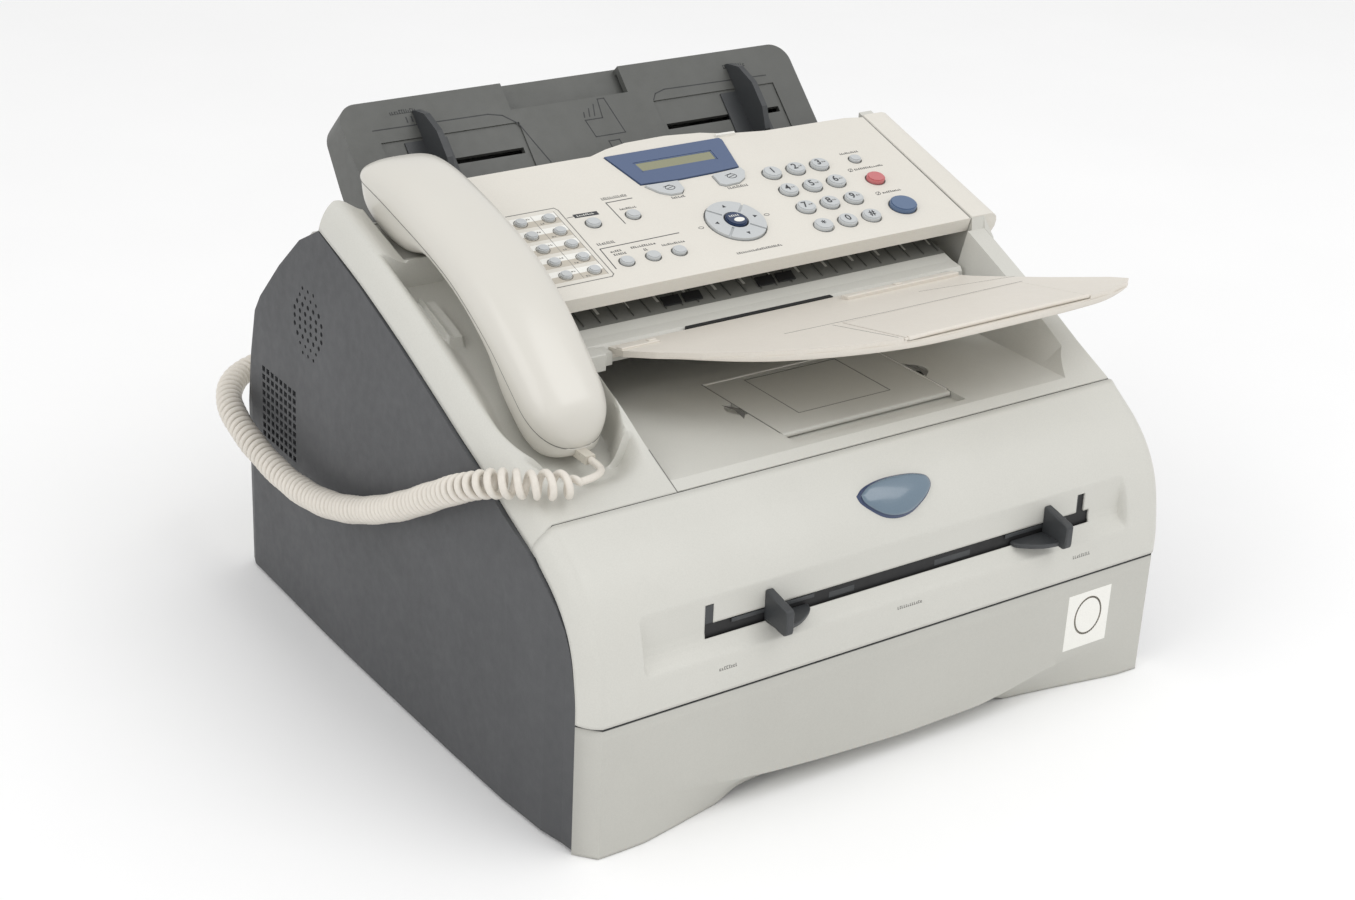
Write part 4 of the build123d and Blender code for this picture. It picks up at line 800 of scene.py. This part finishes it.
# one-touch field: striped paper, printed frame
stripes, beige = [], []
for i in range(5):
    sc2 = 66.2 - i * 11.85
    stripes.append([(-100.5, sc2 + 0.4), (-68.2, sc2 + 0.4), (-68.2, sc2 + 4.6), (-100.5, sc2 + 4.6)])
    beige.append([(-100.5, sc2 - 4.4), (-68.2, sc2 - 4.4), (-68.2, sc2 + 0.2), (-100.5, sc2 + 0.2)])
decal("one_touch_paper", stripes, M["paper"], "panel", PPt)
decal("one_touch_bands", beige, M["beige"], "panel", PPt)
decal("one_touch_frame", stroke([(-104.0, 74.0), (-66.3, 74.3), (-65.0, 72.0), (-65.6, 13.2), (-67.4, 11.6), (-104.5, 11.2)], 0.5)
      + stroke([(-68.2, 71.4), (-68.2, 14.4)], 0.3) + stroke([(-83.0, 70.6), (-83.0, 14.8)], 0.25)
      + [q for i in range(5) for q in words(-86.8, -84.4, 66.2 - i * 11.85 + 2.0, 1.1, seed=i + 2)]
      + [q for i in range(5) for q in words(-80.9, -78.6, 66.2 - i * 11.85 - 3.6, 1.1, seed=i + 5)],
      M["seam"], "panel", PPt, h=0.09)
lines_ = []
lines_ += stroke([(-64.0, 64.2), (-59.6, 64.4)], 0.35)
lines_ += stroke([(-18.5, 71.0), (-35.4, 70.8), (-35.0, 51.2)], 0.55)
lines_ += stroke([(-10.5, 35.4), (-61.2, 34.5), (-61.9, 16.8)], 0.55)
lines_ += [[(-59.6, 62.8), (-44.6, 62.4), (-44.6, 65.6), (-59.6, 66.0)]]
lines_ += words(-36.0, -20.0, 73.4, 2.2, seed=5) + words(-31.0, -20.0, 62.6, 1.5, seed=8)
lines_ += words(-60.5, -50.0, 37.4, 2.0, seed=4)
lines_ += words(-57.0, -50.5, 29.8, 1.5, seed=6) + words(-56.5, -48.2, 27.0, 1.5, seed=9)
lines_ += words(-44.0, -29.0, 30.0, 1.5, seed=12) + words(-38.0, -35.0, 26.4, 1.8, seed=2)
lines_ += words(-26.0, -11.0, 27.2, 1.5, seed=7)
lines_ += words(4.0, 12.8, 64.0, 1.8, seed=3) + words(41.5, 55.2, 63.6, 1.9, seed=4)
lines_ += words(11.0, 40.4, 9.0, 1.5, seed=5)
lines_ += words(128.8, 141.5, 75.6, 1.5, seed=7) + words(128.0, 148.4, 59.6, 1.5, seed=9) + words(130.4, 143.6, 35.2, 1.5, seed=6)
for cx_, cs_ in ((125.2, 60.6), (127.4, 36.2)):
    e_ = ellipse(cx_, cs_, 1.5, 1.3, 14)
    lines_ += stroke(e_ + e_[:1], 0.3) + stroke([(cx_ - 1.2, cs_ - 1.5), (cx_ + 1.4, cs_ + 1.3)], 0.3)
for cx_, cs_ in ((48.9, 36.4), (4.6, 35.9)):
    e_ = ellipse(cx_, cs_, 1.6, 0.9, 12)
    lines_ += stroke(e_ + e_[:1], 0.28)
decal("panel_print", lines_, M["ink"], "panel", PPt)
decal("panel_pill_marks", words(-57.8, -47.0, 63.6, 1.3, seed=8), M["paper"], "panel", PPt, h=0.12)
decal("panel_cap_seam", stroke([(168.4, 106.0), (167.8, 0.4)], 0.45), M["seam"], "panel", PPt)
# thin dark contact rings round the keys
rings = []
for (x_, s_, a_, b_) in [(x, s, 5.6, 5.0) for x in (75.3, 92.1, 109.0) for s in (69.7, 52.6, 35.4, 17.9)] + \
        [(134.6, 69.2, 3.6, 3.2), (134.4, 48.6, 5.6, 5.0), (134.2, 21.4, 8.2, 7.2), (-52.4, 55.8, 4.2, 3.6), (-26.6, 56.6, 4.0, 3.6)] + \
        [(x, s, 3.3, 2.9) for x in (-91.5, -74.1) for s in (66.2, 54.3, 42.4, 30.6, 18.8)] + [(x, 20.5, 4.0, 3.5) for x in (-52.9, -36.2, -19.6)] + \
        [(27.1, 35.4, 17.2, 17.2)]:
    e_ = ellipse(x_, s_, a_ + 0.55, b_ + 0.55, 36)
    rings += stroke(e_ + e_[:1], 0.42)
decal("key_rings", rings, M["seam"], "panel", PPt, h=0.07)
for ch, nm, x_, s_ in (("1", "key_1", 75.3, 69.7), ("2", "key_2", 92.1, 69.7), ("3", "key_3", 109.0, 69.7), ("4", "key_4", 75.3, 52.6),
                       ("5", "key_5", 92.1, 52.6), ("6", "key_6", 109.0, 52.6), ("7", "key_7", 75.3, 35.4), ("8", "key_8", 92.1, 35.4),
                       ("9", "key_9", 109.0, 35.4), ("*", "key_star", 75.0, 17.0), ("0", "key_0", 92.0, 17.9), ("#", "key_hash", 108.8, 17.9)):
    digit("mark_" + nm, ch, x_ - (1.2 if ch in "23456789" else 0.0), s_ + 0.3, 6.8, M["ink"], nm, 2.48)
    if ch in "23456789":
        decal("letters_" + nm, words(x_ + 1.2, x_ + 3.9, s_ - 0.4, 1.0, seed=ord(ch)), M["seam"], nm, PPt, h=2.46)
# arrows on the navigation ring, oval on the menu key, symbols on the two mode keys
arrows = []
for a_deg in (90, 0, 270, 180):
    ax_, as_ = 27.1 + 12.6 * math.cos(math.radians(a_deg)), 35.4 + 12.6 * math.sin(math.radians(a_deg))
    t_ = math.radians(a_deg)
    arrows.append([(ax_ + 1.5 * math.cos(t_), as_ + 1.5 * math.sin(t_)), (ax_ + 1.5 * math.cos(t_ + 2.2), as_ + 1.5 * math.sin(t_ + 2.2)),
                   (ax_ + 1.5 * math.cos(t_ - 2.2), as_ + 1.5 * math.sin(t_ - 2.2))])
decal("nav_arrows", arrows, M["ink"], "key_nav", PPt, h=1.66)
decal("menu_oval", [ellipse(28.0, 33.9, 3.3, 1.9, 24)] + words(23.8, 30.6, 37.0, 1.6, seed=5), M["paper"], "key_menu", PPt, h=2.66)
for nm, x_, s_ in (("key_fax_mode", 7.4, 72.6), ("key_copy_mode", 49.4, 73.0)):
    e_ = ellipse(x_, s_, 3.0, 1.9, 18)
    decal("symbol_" + nm, stroke(e_ + e_[:1], 0.4) + stroke([(x_ - 2.0, s_ - 0.6), (x_ + 2.0, s_ + 0.5)], 0.4)
          + stroke([(x_ - 3.6, s_ + 1.4), (x_ + 1.0, s_ + 2.4)], 0.35), M["ink"], nm, PPt, h=1.26)
# pale latch tab at the rear edge
decal("panel_tab", [[(63.4, 110.7), (76.6, 110.3), (76.8, 112.0), (64.0, 112.4)]], M["pale"], "panel", PPt, h=1.6, depth=2.4)
# inner shade of the display, as a frame stroke in the bezel's blue
decal("lcd_frame", stroke([(0.2, 99.2), (51.8, 99.0), (51.0, 91.0), (1.0, 91.0), (0.2, 99.2)], 0.9), M["bezel_blue"], "panel", PPt, h=0.62)

# handset parting line: dark strip between the two halves
loop = []
order = list(range(3, len(sta) - 3))
for side in (-1, 1):
    seq = order if side < 0 else order[::-1]
    for k in seq:
        w = hw_s[k] * max(we[k], 0.0) + 0.07
        loop.append((HS_C + side * w, Pp[k][0], Pp[k][1]))
nl = len(loop)
vs_ = [(p[0], p[1], p[2] + 0.12) for p in loop] + [(p[0], p[1], p[2] - 0.42) for p in loop]
make("handset_parting", vs_, [(i, (i + 1) % nl, nl + (i + 1) % nl, nl + i) for i in range(nl)], M["seam"], "handset", smooth_angle=50)

# document support: rim, root bar, moulded lines
WNG = [(-60.0, -90.0), (-43.0, -107.0), (-24.0, -122.0), (-3.0, -134.0), (21.0, -143.0)]
WNG2 = [(155.0, -145.4), (167.0, -143.0), (186.0, -136.0), (193.0, -130.0), (189.0, -120.0), (180.0, -109.0), (168.0, -94.0)]


def strip(name, pts, z0, z1, mat, body, inset=0.9, slot=None):
    c = curve_through(pts, 50)
    t = np.gradient(c, axis=0)
    t /= np.linalg.norm(t, axis=1)[:, None]
    nrm = np.stack([-t[:, 1], t[:, 0]], 1) * inset
    ring_ = []
    for p, n_ in zip(c, nrm):
        ring_.append([WGt(p[0], p[1], z1), WGt(p[0], p[1], z0), WGt(p[0] + n_[0], p[1] + n_[1], z0), WGt(p[0] + n_[0], p[1] + n_[1], z1)])
    arr = np.array(ring_).reshape(-1, 3)
    f_ = grid_faces(len(c), 4, True) + [(0, 1, 2, 3), tuple(len(arr) - 4 + i for i in (3, 2, 1, 0))]
    return make(name, arr, f_, mat, body, smooth_angle=35)


def rim_piece(name, pts, mat, body):
    c = curve_through(pts, 120)
    t = np.gradient(c, axis=0)
    t /= np.linalg.norm(t, axis=1)[:, None]
    nrm = np.stack([-t[:, 1], t[:, 0]], 1)
    q_ = np.linspace(0, 1, len(c))
    low = -3.3 - 2.4 * sstep(0.0, 0.22, q_) * (1 - sstep(0.86, 1.0, q_))
    ring_ = []
    for p, n_, lo_ in zip(c, nrm, low):
        for (off, z_) in ((0.05, -2.4), (0.05, lo_ + 0.5), (0.5, lo_), (1.5, lo_), (1.8, -2.4)):
            ring_.append(WGt(p[0] + n_[0] * off, p[1] + n_[1] * off, z_))
    arr = np.array(ring_)
    f_ = grid_faces(len(c), 5, True) + [(0, 1, 2, 3, 4), tuple(len(arr) - 5 + i for i in (4, 3, 2, 1, 0))]
    return make(name, arr, f_, mat, body, smooth_angle=50)


rim_piece("support_rim", [(-75.0, -70.0), (-60.0, -90.0), (-43.0, -107.0), (-24.0, -122.0), (-3.0, -134.0), (21.0, -143.0), (40.0, -146.5), (72.0, -147.5),
                          (112.0, -147.5), (140.0, -146.5), (167.0, -143.0), (186.0, -136.0), (193.0, -130.0)], M["support_pink"], "wing")
decal("support_lines", stroke([(-8.0, -88.0), (60.0, -90.6), (152.0, -90.6)], 0.5) + stroke([(20.0, -92.0), (24.0, -139.0)], 0.4)
      + stroke([(100.0, -66.0), (158.0, -78.0)], 0.3), M["seam"], "wing", WGt, h=0.05)
bar = [(-84.0, -39.4, -3.0, 2.2), (-77.5, -39.4, -3.0, 2.2)]


def block_piece(name, x0, x1, y0, y1, z0, z1, mat, body, slot, T=None, bev=0.0006):
    T = T or (lambda a, b, c: (a, b, c))
    v = [T(x, y, z) for z in (z0, z1) for y in (y0, y1) for x in (x0, x1)]
    f = [(0, 1, 3, 2), (4, 6, 7, 5), (0, 4, 5, 1), (2, 3, 7, 6), (0, 2, 6, 4), (1, 5, 7, 3)]
    o = make(name, v, f, mat, body, smooth_angle=35)
    soften(o, bev, 3, 40)
    return o


block_piece("support_root_bar", 62.0, 140.6, -52.5, -46.4, -0.6, 2.2, M["support_pink"], "wing", "support_pink", WGt)
block_piece("support_root_step", -83.6, -60.0, -52.0, -46.4, -0.6, 1.0, M["support_pink"], "wing", "support_pink", WGt)
block_piece("support_bump_a", -66.0, -61.0, -50.4, -46.6, -0.4, 1.8, M["support_pink"], "wing", "support_pink", WGt)
block_piece("support_bump_b", 96.0, 101.0, -51.0, -48.0, 2.0, 3.0, M["support_pink"], "wing", "support_pink", WGt)
block_piece("support_bearing", -106.6, -90.4, -48.6, -37.6, 184.0, 193.4, M["light_body"], "machine", "light_body")

# the cassette behind its front: floor, side, rear and inner walls, paper walls, feet
for nm_, b_ in (("floor", (-166.0, 166.0, -170.0, 148.0, 4.6, 7.0)), ("side_l", (-166.0, -163.0, -170.0, 148.0, 4.6, 66.0)),
                ("side_r", (163.0, 166.0, -170.0, 148.0, 4.6, 66.0)), ("paper_wall_l", (-115.5, -113.0, -165.0, 130.0, 6.0, 52.0)),
                ("paper_wall_r", (113.0, 115.5, -165.0, 130.0, 6.0, 52.0)), ("rear_wall", (-166.0, 166.0, 145.0, 148.0, 4.6, 50.0)),
                ("front_wall", (-166.0, 166.0, -166.0, -163.5, 4.6, 56.0)), ("front_fill", (-166.0, 166.0, -184.4, -166.0, 26.8, 29.0)),
                ("foot_l", (-176.0, -128.0, -174.0, -150.0, 0.5, 5.0)), ("foot_r", (142.0, 176.0, -174.0, -150.0, 0.5, 5.0))):
    block_piece("cassette_" + nm_, *b_, M["cassette_body"], "cassette", "light_body", bev=0.0004)

# output flap: raised edge line with a pale painted highlight, inner panel, finger notches darkened with painted shade
# painted highlight: the raised edge strip is pale for the light along it
decal("flap_edge_highlight", stroke([(-26.2, -45.6), (84.2, -45.6)], 1.2) + stroke([(84.2, -45.6), (84.2, -112.0)], 0.8), M["pale"], "flap", FLt, h=161.9, depth=0.6)
decal("flap_gap", stroke([(-27.3, -45.0), (85.0, -45.0)], 0.6) + stroke([(-27.2, -45.0), (-27.2, -114.0)], 0.5) + stroke([(85.2, -45.0), (85.2, -113.0)], 0.5),
      M["seam"], "machine", FLt, h=161.56)
decal("flap_inner", stroke([(-3.4, -50.6), (57.4, -50.6), (57.4, -98.4), (-3.4, -98.4), (-3.4, -50.6)], 0.45), M["seam"], "flap", FLt, h=161.46)
# painted shade: grey patches where the finger notches are recessed
decal("flap_notch_shade", [[(-33.4, -71.5), (-27.6, -79.0), (-28.6, -86.0), (-33.0, -91.0), (-30.8, -80.0)],
                       [(85.6, -73.5), (91.0, -80.0), (90.6, -90.0), (86.0, -94.0), (88.4, -84.0)]], M["seam"], "machine", FLt, h=161.56)

# embossed marks on the front cover and a plain label
def FRt(x, z, h):
    y = float(np.interp(z, fcc[::-1, 1], fcc[::-1, 0]))
    return (x, y - h, z)


def CSt(x, z, h):
    return (x, -187.4 - h, z)


decal("feed_marks", words(118.0, 131.0, 84.6, 1.8, seed=4) + words(-2.0, 14.0, 87.4, 1.6, seed=5) + words(-112.0, -101.0, 84.6, 1.8, seed=6)
      , M["seam"], "front_door", FRt, h=0.05)

# ---------------------------------------------------------------- seams, badge, guides, label, right cap
def ribbon(name, pts_a, pts_b, mat, body):
    n = len(pts_a)
    return make(name, list(pts_a) + list(pts_b), [(i, i + 1, n + i + 1, n + i) for i in range(n - 1)], mat, body, smooth_angle=0)


# near-black for the real gaps between parts and the chute windows, and painted shade inside the feed slot
M["gap"] = plastic("M_gap", (34, 34, 35), (0.6, 0.7), 4, bump=0.02)
ribbon("cover_gap_low", [(-186.7, -177.0, 71.9), (-177.9, -187.2, 71.9), (177.9, -187.2, 71.9), (186.7, -177.0, 71.9)],
       [(-186.7, -177.0, 73.1), (-177.9, -187.2, 73.1), (177.9, -187.2, 73.1), (186.7, -177.0, 73.1)], M["gap"], "front_door")
ribbon("cover_gap_top", [(-186.6, -135.0, 145.0), (-178.0, -138.8, 158.1), (178.0, -138.8, 158.1), (186.6, -135.0, 145.0)],
       [(-186.6, -137.4, 144.4), (-178.0, -140.1, 157.8), (178.0, -140.1, 157.8), (186.6, -137.4, 144.4)], M["gap"], "machine")
# seam between the cradle and the top cover
decal("cradle_seam", stroke([(-107.2, -77.0), (-107.2, -112.0)], 0.5), M["seam"], "machine", lambda a, b, h: (a, b, 161.5 + h), h=0.1)
decal("cradle_seam_front", stroke([(-107.2, -113.6), (-107.2, -138.6)], 0.5), M["seam"], "machine",
      lambda a, b, h: (a, b, float(sh_at(b)) + h), h=0.12)

# moulded outlines and plain marks on the document tray
decal("tray_marks", words(-119.6, -103.4, -9.6, 2.4, seed=11) + words(101.0, 117.0, -11.6, 2.4, seed=12)
      + stroke([(-111.0, -15.0), (-111.0, -12.2)], 0.7) + stroke([(-107.8, -15.0), (-107.8, -12.2)], 0.7)
      + stroke([(107.4, -16.2), (107.4, -13.4)], 0.7) + stroke([(110.4, -16.2), (110.4, -13.4)], 0.7)
      + stroke([(-3.6, -30.4), (8.0, -30.4), (9.4, -18.5), (13.8, -18.5), (18.8, -41.4), (-1.0, -41.4), (-3.6, -30.4)], 0.55)
      + stroke([(-3.2, -28.4), (-2.6, -25.6)], 0.6) + stroke([(0.2, -28.4), (1.4, -23.6)], 0.6) + stroke([(3.6, -28.4), (5.4, -21.4)], 0.6)
      + stroke([(5.9, -45.2), (13.0, -45.2), (13.8, -50.0), (6.7, -50.0), (5.9, -45.2)], 0.55), M["inner_plastic"], "machine", TPt, h=0.1)
decal("tray_outlines", stroke([(-133.0, -17.2), (-62.0, -17.6), (-53.5, -19.6), (-45.6, -26.0), (-41.0, -38.0), (-35.4, -52.0)], 0.6)
      + stroke([(45.6, -24.4), (48.4, -20.6), (55.4, -18.7), (128.0, -19.6)], 0.6), M["inner_plastic"], "machine", TPt, h=0.1)

# domed badge
leaf = [(-18.7, 3.5), (-13.4, 6.6), (-2.9, 8.9), (10.4, 8.9), (22.0, 7.2), (28.4, 4.3), (29.3, 0.3), (25.7, -4.3), (18.1, -8.9), (9.6, -12.2),
        (1.3, -12.8), (-7.0, -10.7), (-13.8, -5.8), (-18.3, -0.4)]
leaf_c = curve_through(leaf + leaf[:1], 90)[:-1]
lc = np.array([5.0, -1.6])
BT = math.radians(46.5)


def BGt(a, b, h):
    return (4.0 + a, -164.6 + b * math.cos(BT) - h * math.sin(BT), 141.0 + b * math.sin(BT) + h * math.cos(BT))


def dome(name, k_out, h0, h1, mat, rings_=12, edge=0.9):
    vs_, n = [], len(leaf_c)
    for r in range(rings_ + 1):
        u = r / rings_
        rr = k_out * math.cos(u * math.pi / 2 * 0.96) if r else k_out
        hh = h0 + (h1 - h0) * math.sin(u * math.pi / 2)
        for p in leaf_c:
            q_ = lc + (p - lc) * rr
            vs_.append(BGt(q_[0], q_[1], hh))
    f_ = grid_faces(rings_ + 1, n, True) + [tuple(range(rings_ * n, (rings_ + 1) * n))]
    f_.append(tuple(range(n))[::-1])
    return make(name, vs_, f_, mat, "front_door", smooth_angle=60)


M["badge_rim"] = plastic("M_badge_rim", (52, 66, 98), (0.2, 0.3), 4, bump=0.02, coat=0.4)
badge_rim = dome("badge_rim", 1.0, -1.6, 2.6, M["badge_rim"])
badge_dome = dome("badge_dome", 0.90, 1.1, 3.4, M["badge"])
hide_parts("badge")

# manual feed guides: a thin fin with a rounded foot that slides on the shelf
def guide(name, x_in, s, body, node):
    pr_ = [(-196.4, 99.6), (-196.8, 101.2), (-196.8, 111.2), (-195.6, 112.6), (-193.0, 113.2), (-184.0, 115.4), (-179.4, 116.4), (-178.0, 116.4),
           (-178.0, 100.6), (-184.0, 100.2), (-190.0, 98.6), (-194.6, 98.2)]
    xa, xb = x_in, x_in + s * 4.6
    n = len(pr_)
    v = [(xa, y, z) for y, z in pr_] + [(xb, y, z) for y, z in pr_]
    f = [tuple(range(n)), tuple(range(n, 2 * n))[::-1]] + [(i, n + i, n + (i + 1) % n, (i + 1) % n) for i in range(n)]
    o = make(name + "_fin", v, f, M["dark_inner"], body, smooth_angle=35)
    soften(o, 0.0009, 3, 40)
    # foot: a curved wing towards the middle
    c = curve_through([(0.0, -192.5), (8.0, -191.0), (15.0, -187.4), (20.5, -183.0), (22.0, -179.4)], 24)
    top_, bot_ = [], []
    for a, y in c:
        top_.append((xa - s * a, y, 101.6))
        bot_.append((xa - s * a, y + 0.6, 98.9))
    back = [(xa - s * 22.0, -178.0, 101.6), (xa + s * 4.0, -178.0, 101.6), (xa + s * 4.0, -191.5, 101.6)]
    backb = [(x, y, 98.9) for x, y, z in back]
    T_, B_ = top_ + back, bot_ + backb
    m = len(T_)
    f = [tuple(range(m)), tuple(range(m, 2 * m))[::-1]] + [(i, m + i, m + (i + 1) % m, (i + 1) % m) for i in range(m)]
    o2 = make(name + "_foot", T_ + B_, f, M["dark_inner"], body, smooth_angle=35)
    soften(o2, 0.0005, 2, 40)
    # tongue seen through the slot
    o3 = block_piece(name + "_tongue", *sorted((xa - s * 26.0, xa + s * (17.0 if s > 0 else 24.0))), -178.6, -177.7, 104.0, 106.2, M["dark_inner"], body, "dark_inner", bev=0.0003)
    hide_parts(node)
    return o


GXL, GXR = -76.0, 101.0
guide("feed_guide_left", GXL, -1, "feed_guide_l", "manual_guide_left")
guide("feed_guide_right", GXR, 1, "feed_guide_r", "manual_guide_right")
# dark throat behind the slot, and the paper flap over it; the throat block's near-black is painted shade inside the
# opening
# painted shade: near-black block for the shade inside the slot
block_piece("feed_throat", -124.0, 138.0, -177.4, -174.0, 97.0, 119.5, M["gap"], "front_door", "dark_inner", bev=0.0002)
block_piece("feed_throat_roller_a", -40.0, -24.0, -177.6, -176.8, 100.2, 103.6, M["dark_inner"], "front_door", "dark_inner", bev=0.0002)
block_piece("feed_throat_roller_b", 28.0, 52.0, -177.6, -176.8, 100.2, 103.6, M["dark_inner"], "front_door", "dark_inner", bev=0.0002)

# plain label
decal("label_sheet", [[(118.8, 28.0), (149.8, 28.0), (149.8, 61.6), (118.8, 61.6)]], M["paper"], "cassette", CSt, h=0.10)
e_ = ellipse(134.4, 46.6, 9.4, 11.0, 40)
decal("label_ring", stroke(e_ + e_[:1], 1.1), M["beige"], "cassette", CSt, h=0.16)

# right cap beside the panel, flush with it, rounding over to the side cover
cs = lines((0.2, 108.0, 3.5))
prof_c = [(168.9, -8.0), (168.9, 0.0), (169.4, 0.55), (178.0, 0.55), (183.0, 0.45), (186.2, -0.5), (188.3, -2.5), (189.4, -5.4), (189.6, -9.5), (188.4, -13.0)]
cap_v = []
for s_ in cs:
    for (x_, h_) in prof_c:
        cap_v.append(PPt(min(x_, 191.0) - 0.0, s_, h_))
make("right_cap", cap_v, grid_faces(len(cs), len(prof_c)) + [tuple(range(len(prof_c)))[::-1], tuple(range((len(cs) - 1) * len(prof_c), len(cs) * len(prof_c)))],
     M["panel_body"], "machine", smooth_angle=45)

# ribs, windows and the dark gap of the document chute, over a grey sheet of painted shade where the panel's overhang
# shades the chute
def CHt(x, y, h):
    return (x, y, float(np.interp(y, [-35.0, -28.0, 0.0, 40.0], [192.6, 193.6, 202.0, 216.5])) + h)


ribs = []
for i in range(25):
    x_ = -96.0 + i * 10.4
    ribs += stroke([(x_, -19.0), (x_ + 0.5, 2.0)], 0.25)
# painted shade: the ribs are drawn as dark lines for the shade beside them
decal("chute_ribs", ribs, M["rib"], "machine", CHt, h=1.0, depth=0.8)
win_ = []
for xw in (-34.0, -20.5, 28.0, 41.5):
    win_.append([(xw, -17.4), (xw + 11.5, -17.4), (xw + 13.0, -10.6), (xw + 1.5, -10.6)])
decal("chute_windows", win_, M["gap"], "machine", CHt, h=1.3, depth=0.6)
# painted shade: a darker sheet on the chute under the panel's overhang
decal("chute_shade", [[(-104.0, -21.0), (157.0, -21.0), (157.0, 4.0), (-104.0, 4.0)]], M["shade"], "machine", CHt, h=0.25)
decal("support_gap", [[(-34.0, -39.6), (62.0, -39.6), (62.0, -36.6), (-34.0, -36.6)]], M["gap"], "machine", FLt, h=193.3, depth=2.5)

# ================================================================ floor, light
fm, fnt, fb, ftc = new_mat("M_floor")
fn = noise(fnt, ftc, 3.0, 3.0)
fr = ramp(fnt, fn.outputs["Fac"], [(0.3, (0.965, 0.965, 0.965, 1)), (0.7, (0.985, 0.985, 0.985, 1))])
fnt.links.new(fr.outputs[0], fb.inputs["Base Color"])
fb.inputs["Roughness"].default_value = 0.9
fb.inputs["Specular IOR Level"].default_value = 0.1
fl = make("floor", [(-6000, -4000, 0), (6000, -4000, 0), (6000, 8000, 0), (-6000, 8000, 0)], [(0, 1, 2, 3)], fm, smooth_angle=None)

world = bpy.data.worlds.new("world")
scene.world = world
world.use_nodes = True
bg = world.node_tree.nodes["Background"]
bg.inputs[0].default_value = (1.0, 1.0, 1.0, 1.0)
bg.inputs[1].default_value = 0.82


def area(name, loc, target, size, power, color=(1, 1, 1)):
    d = bpy.data.lights.new(name, "AREA")
    d.shape = "RECTANGLE"
    d.size, d.size_y = size
    d.energy = power
    d.color = color
    o = bpy.data.objects.new(name, d)
    scene.collection.objects.link(o)
    o.location = loc
    o.rotation_euler = (Vector(target) - Vector(loc)).to_track_quat("-Z", "Y").to_euler()
    return o


area("key", (0.7, -1.2, 2.2), (0, 0, 0.1), (1.6, 1.6), 16)
area("left", (-2.0, -0.3, 1.3), (0, 0, 0.1), (1.4, 1.4), 9)
scene.view_settings.view_transform = "Standard"
scene.view_settings.look = "None"
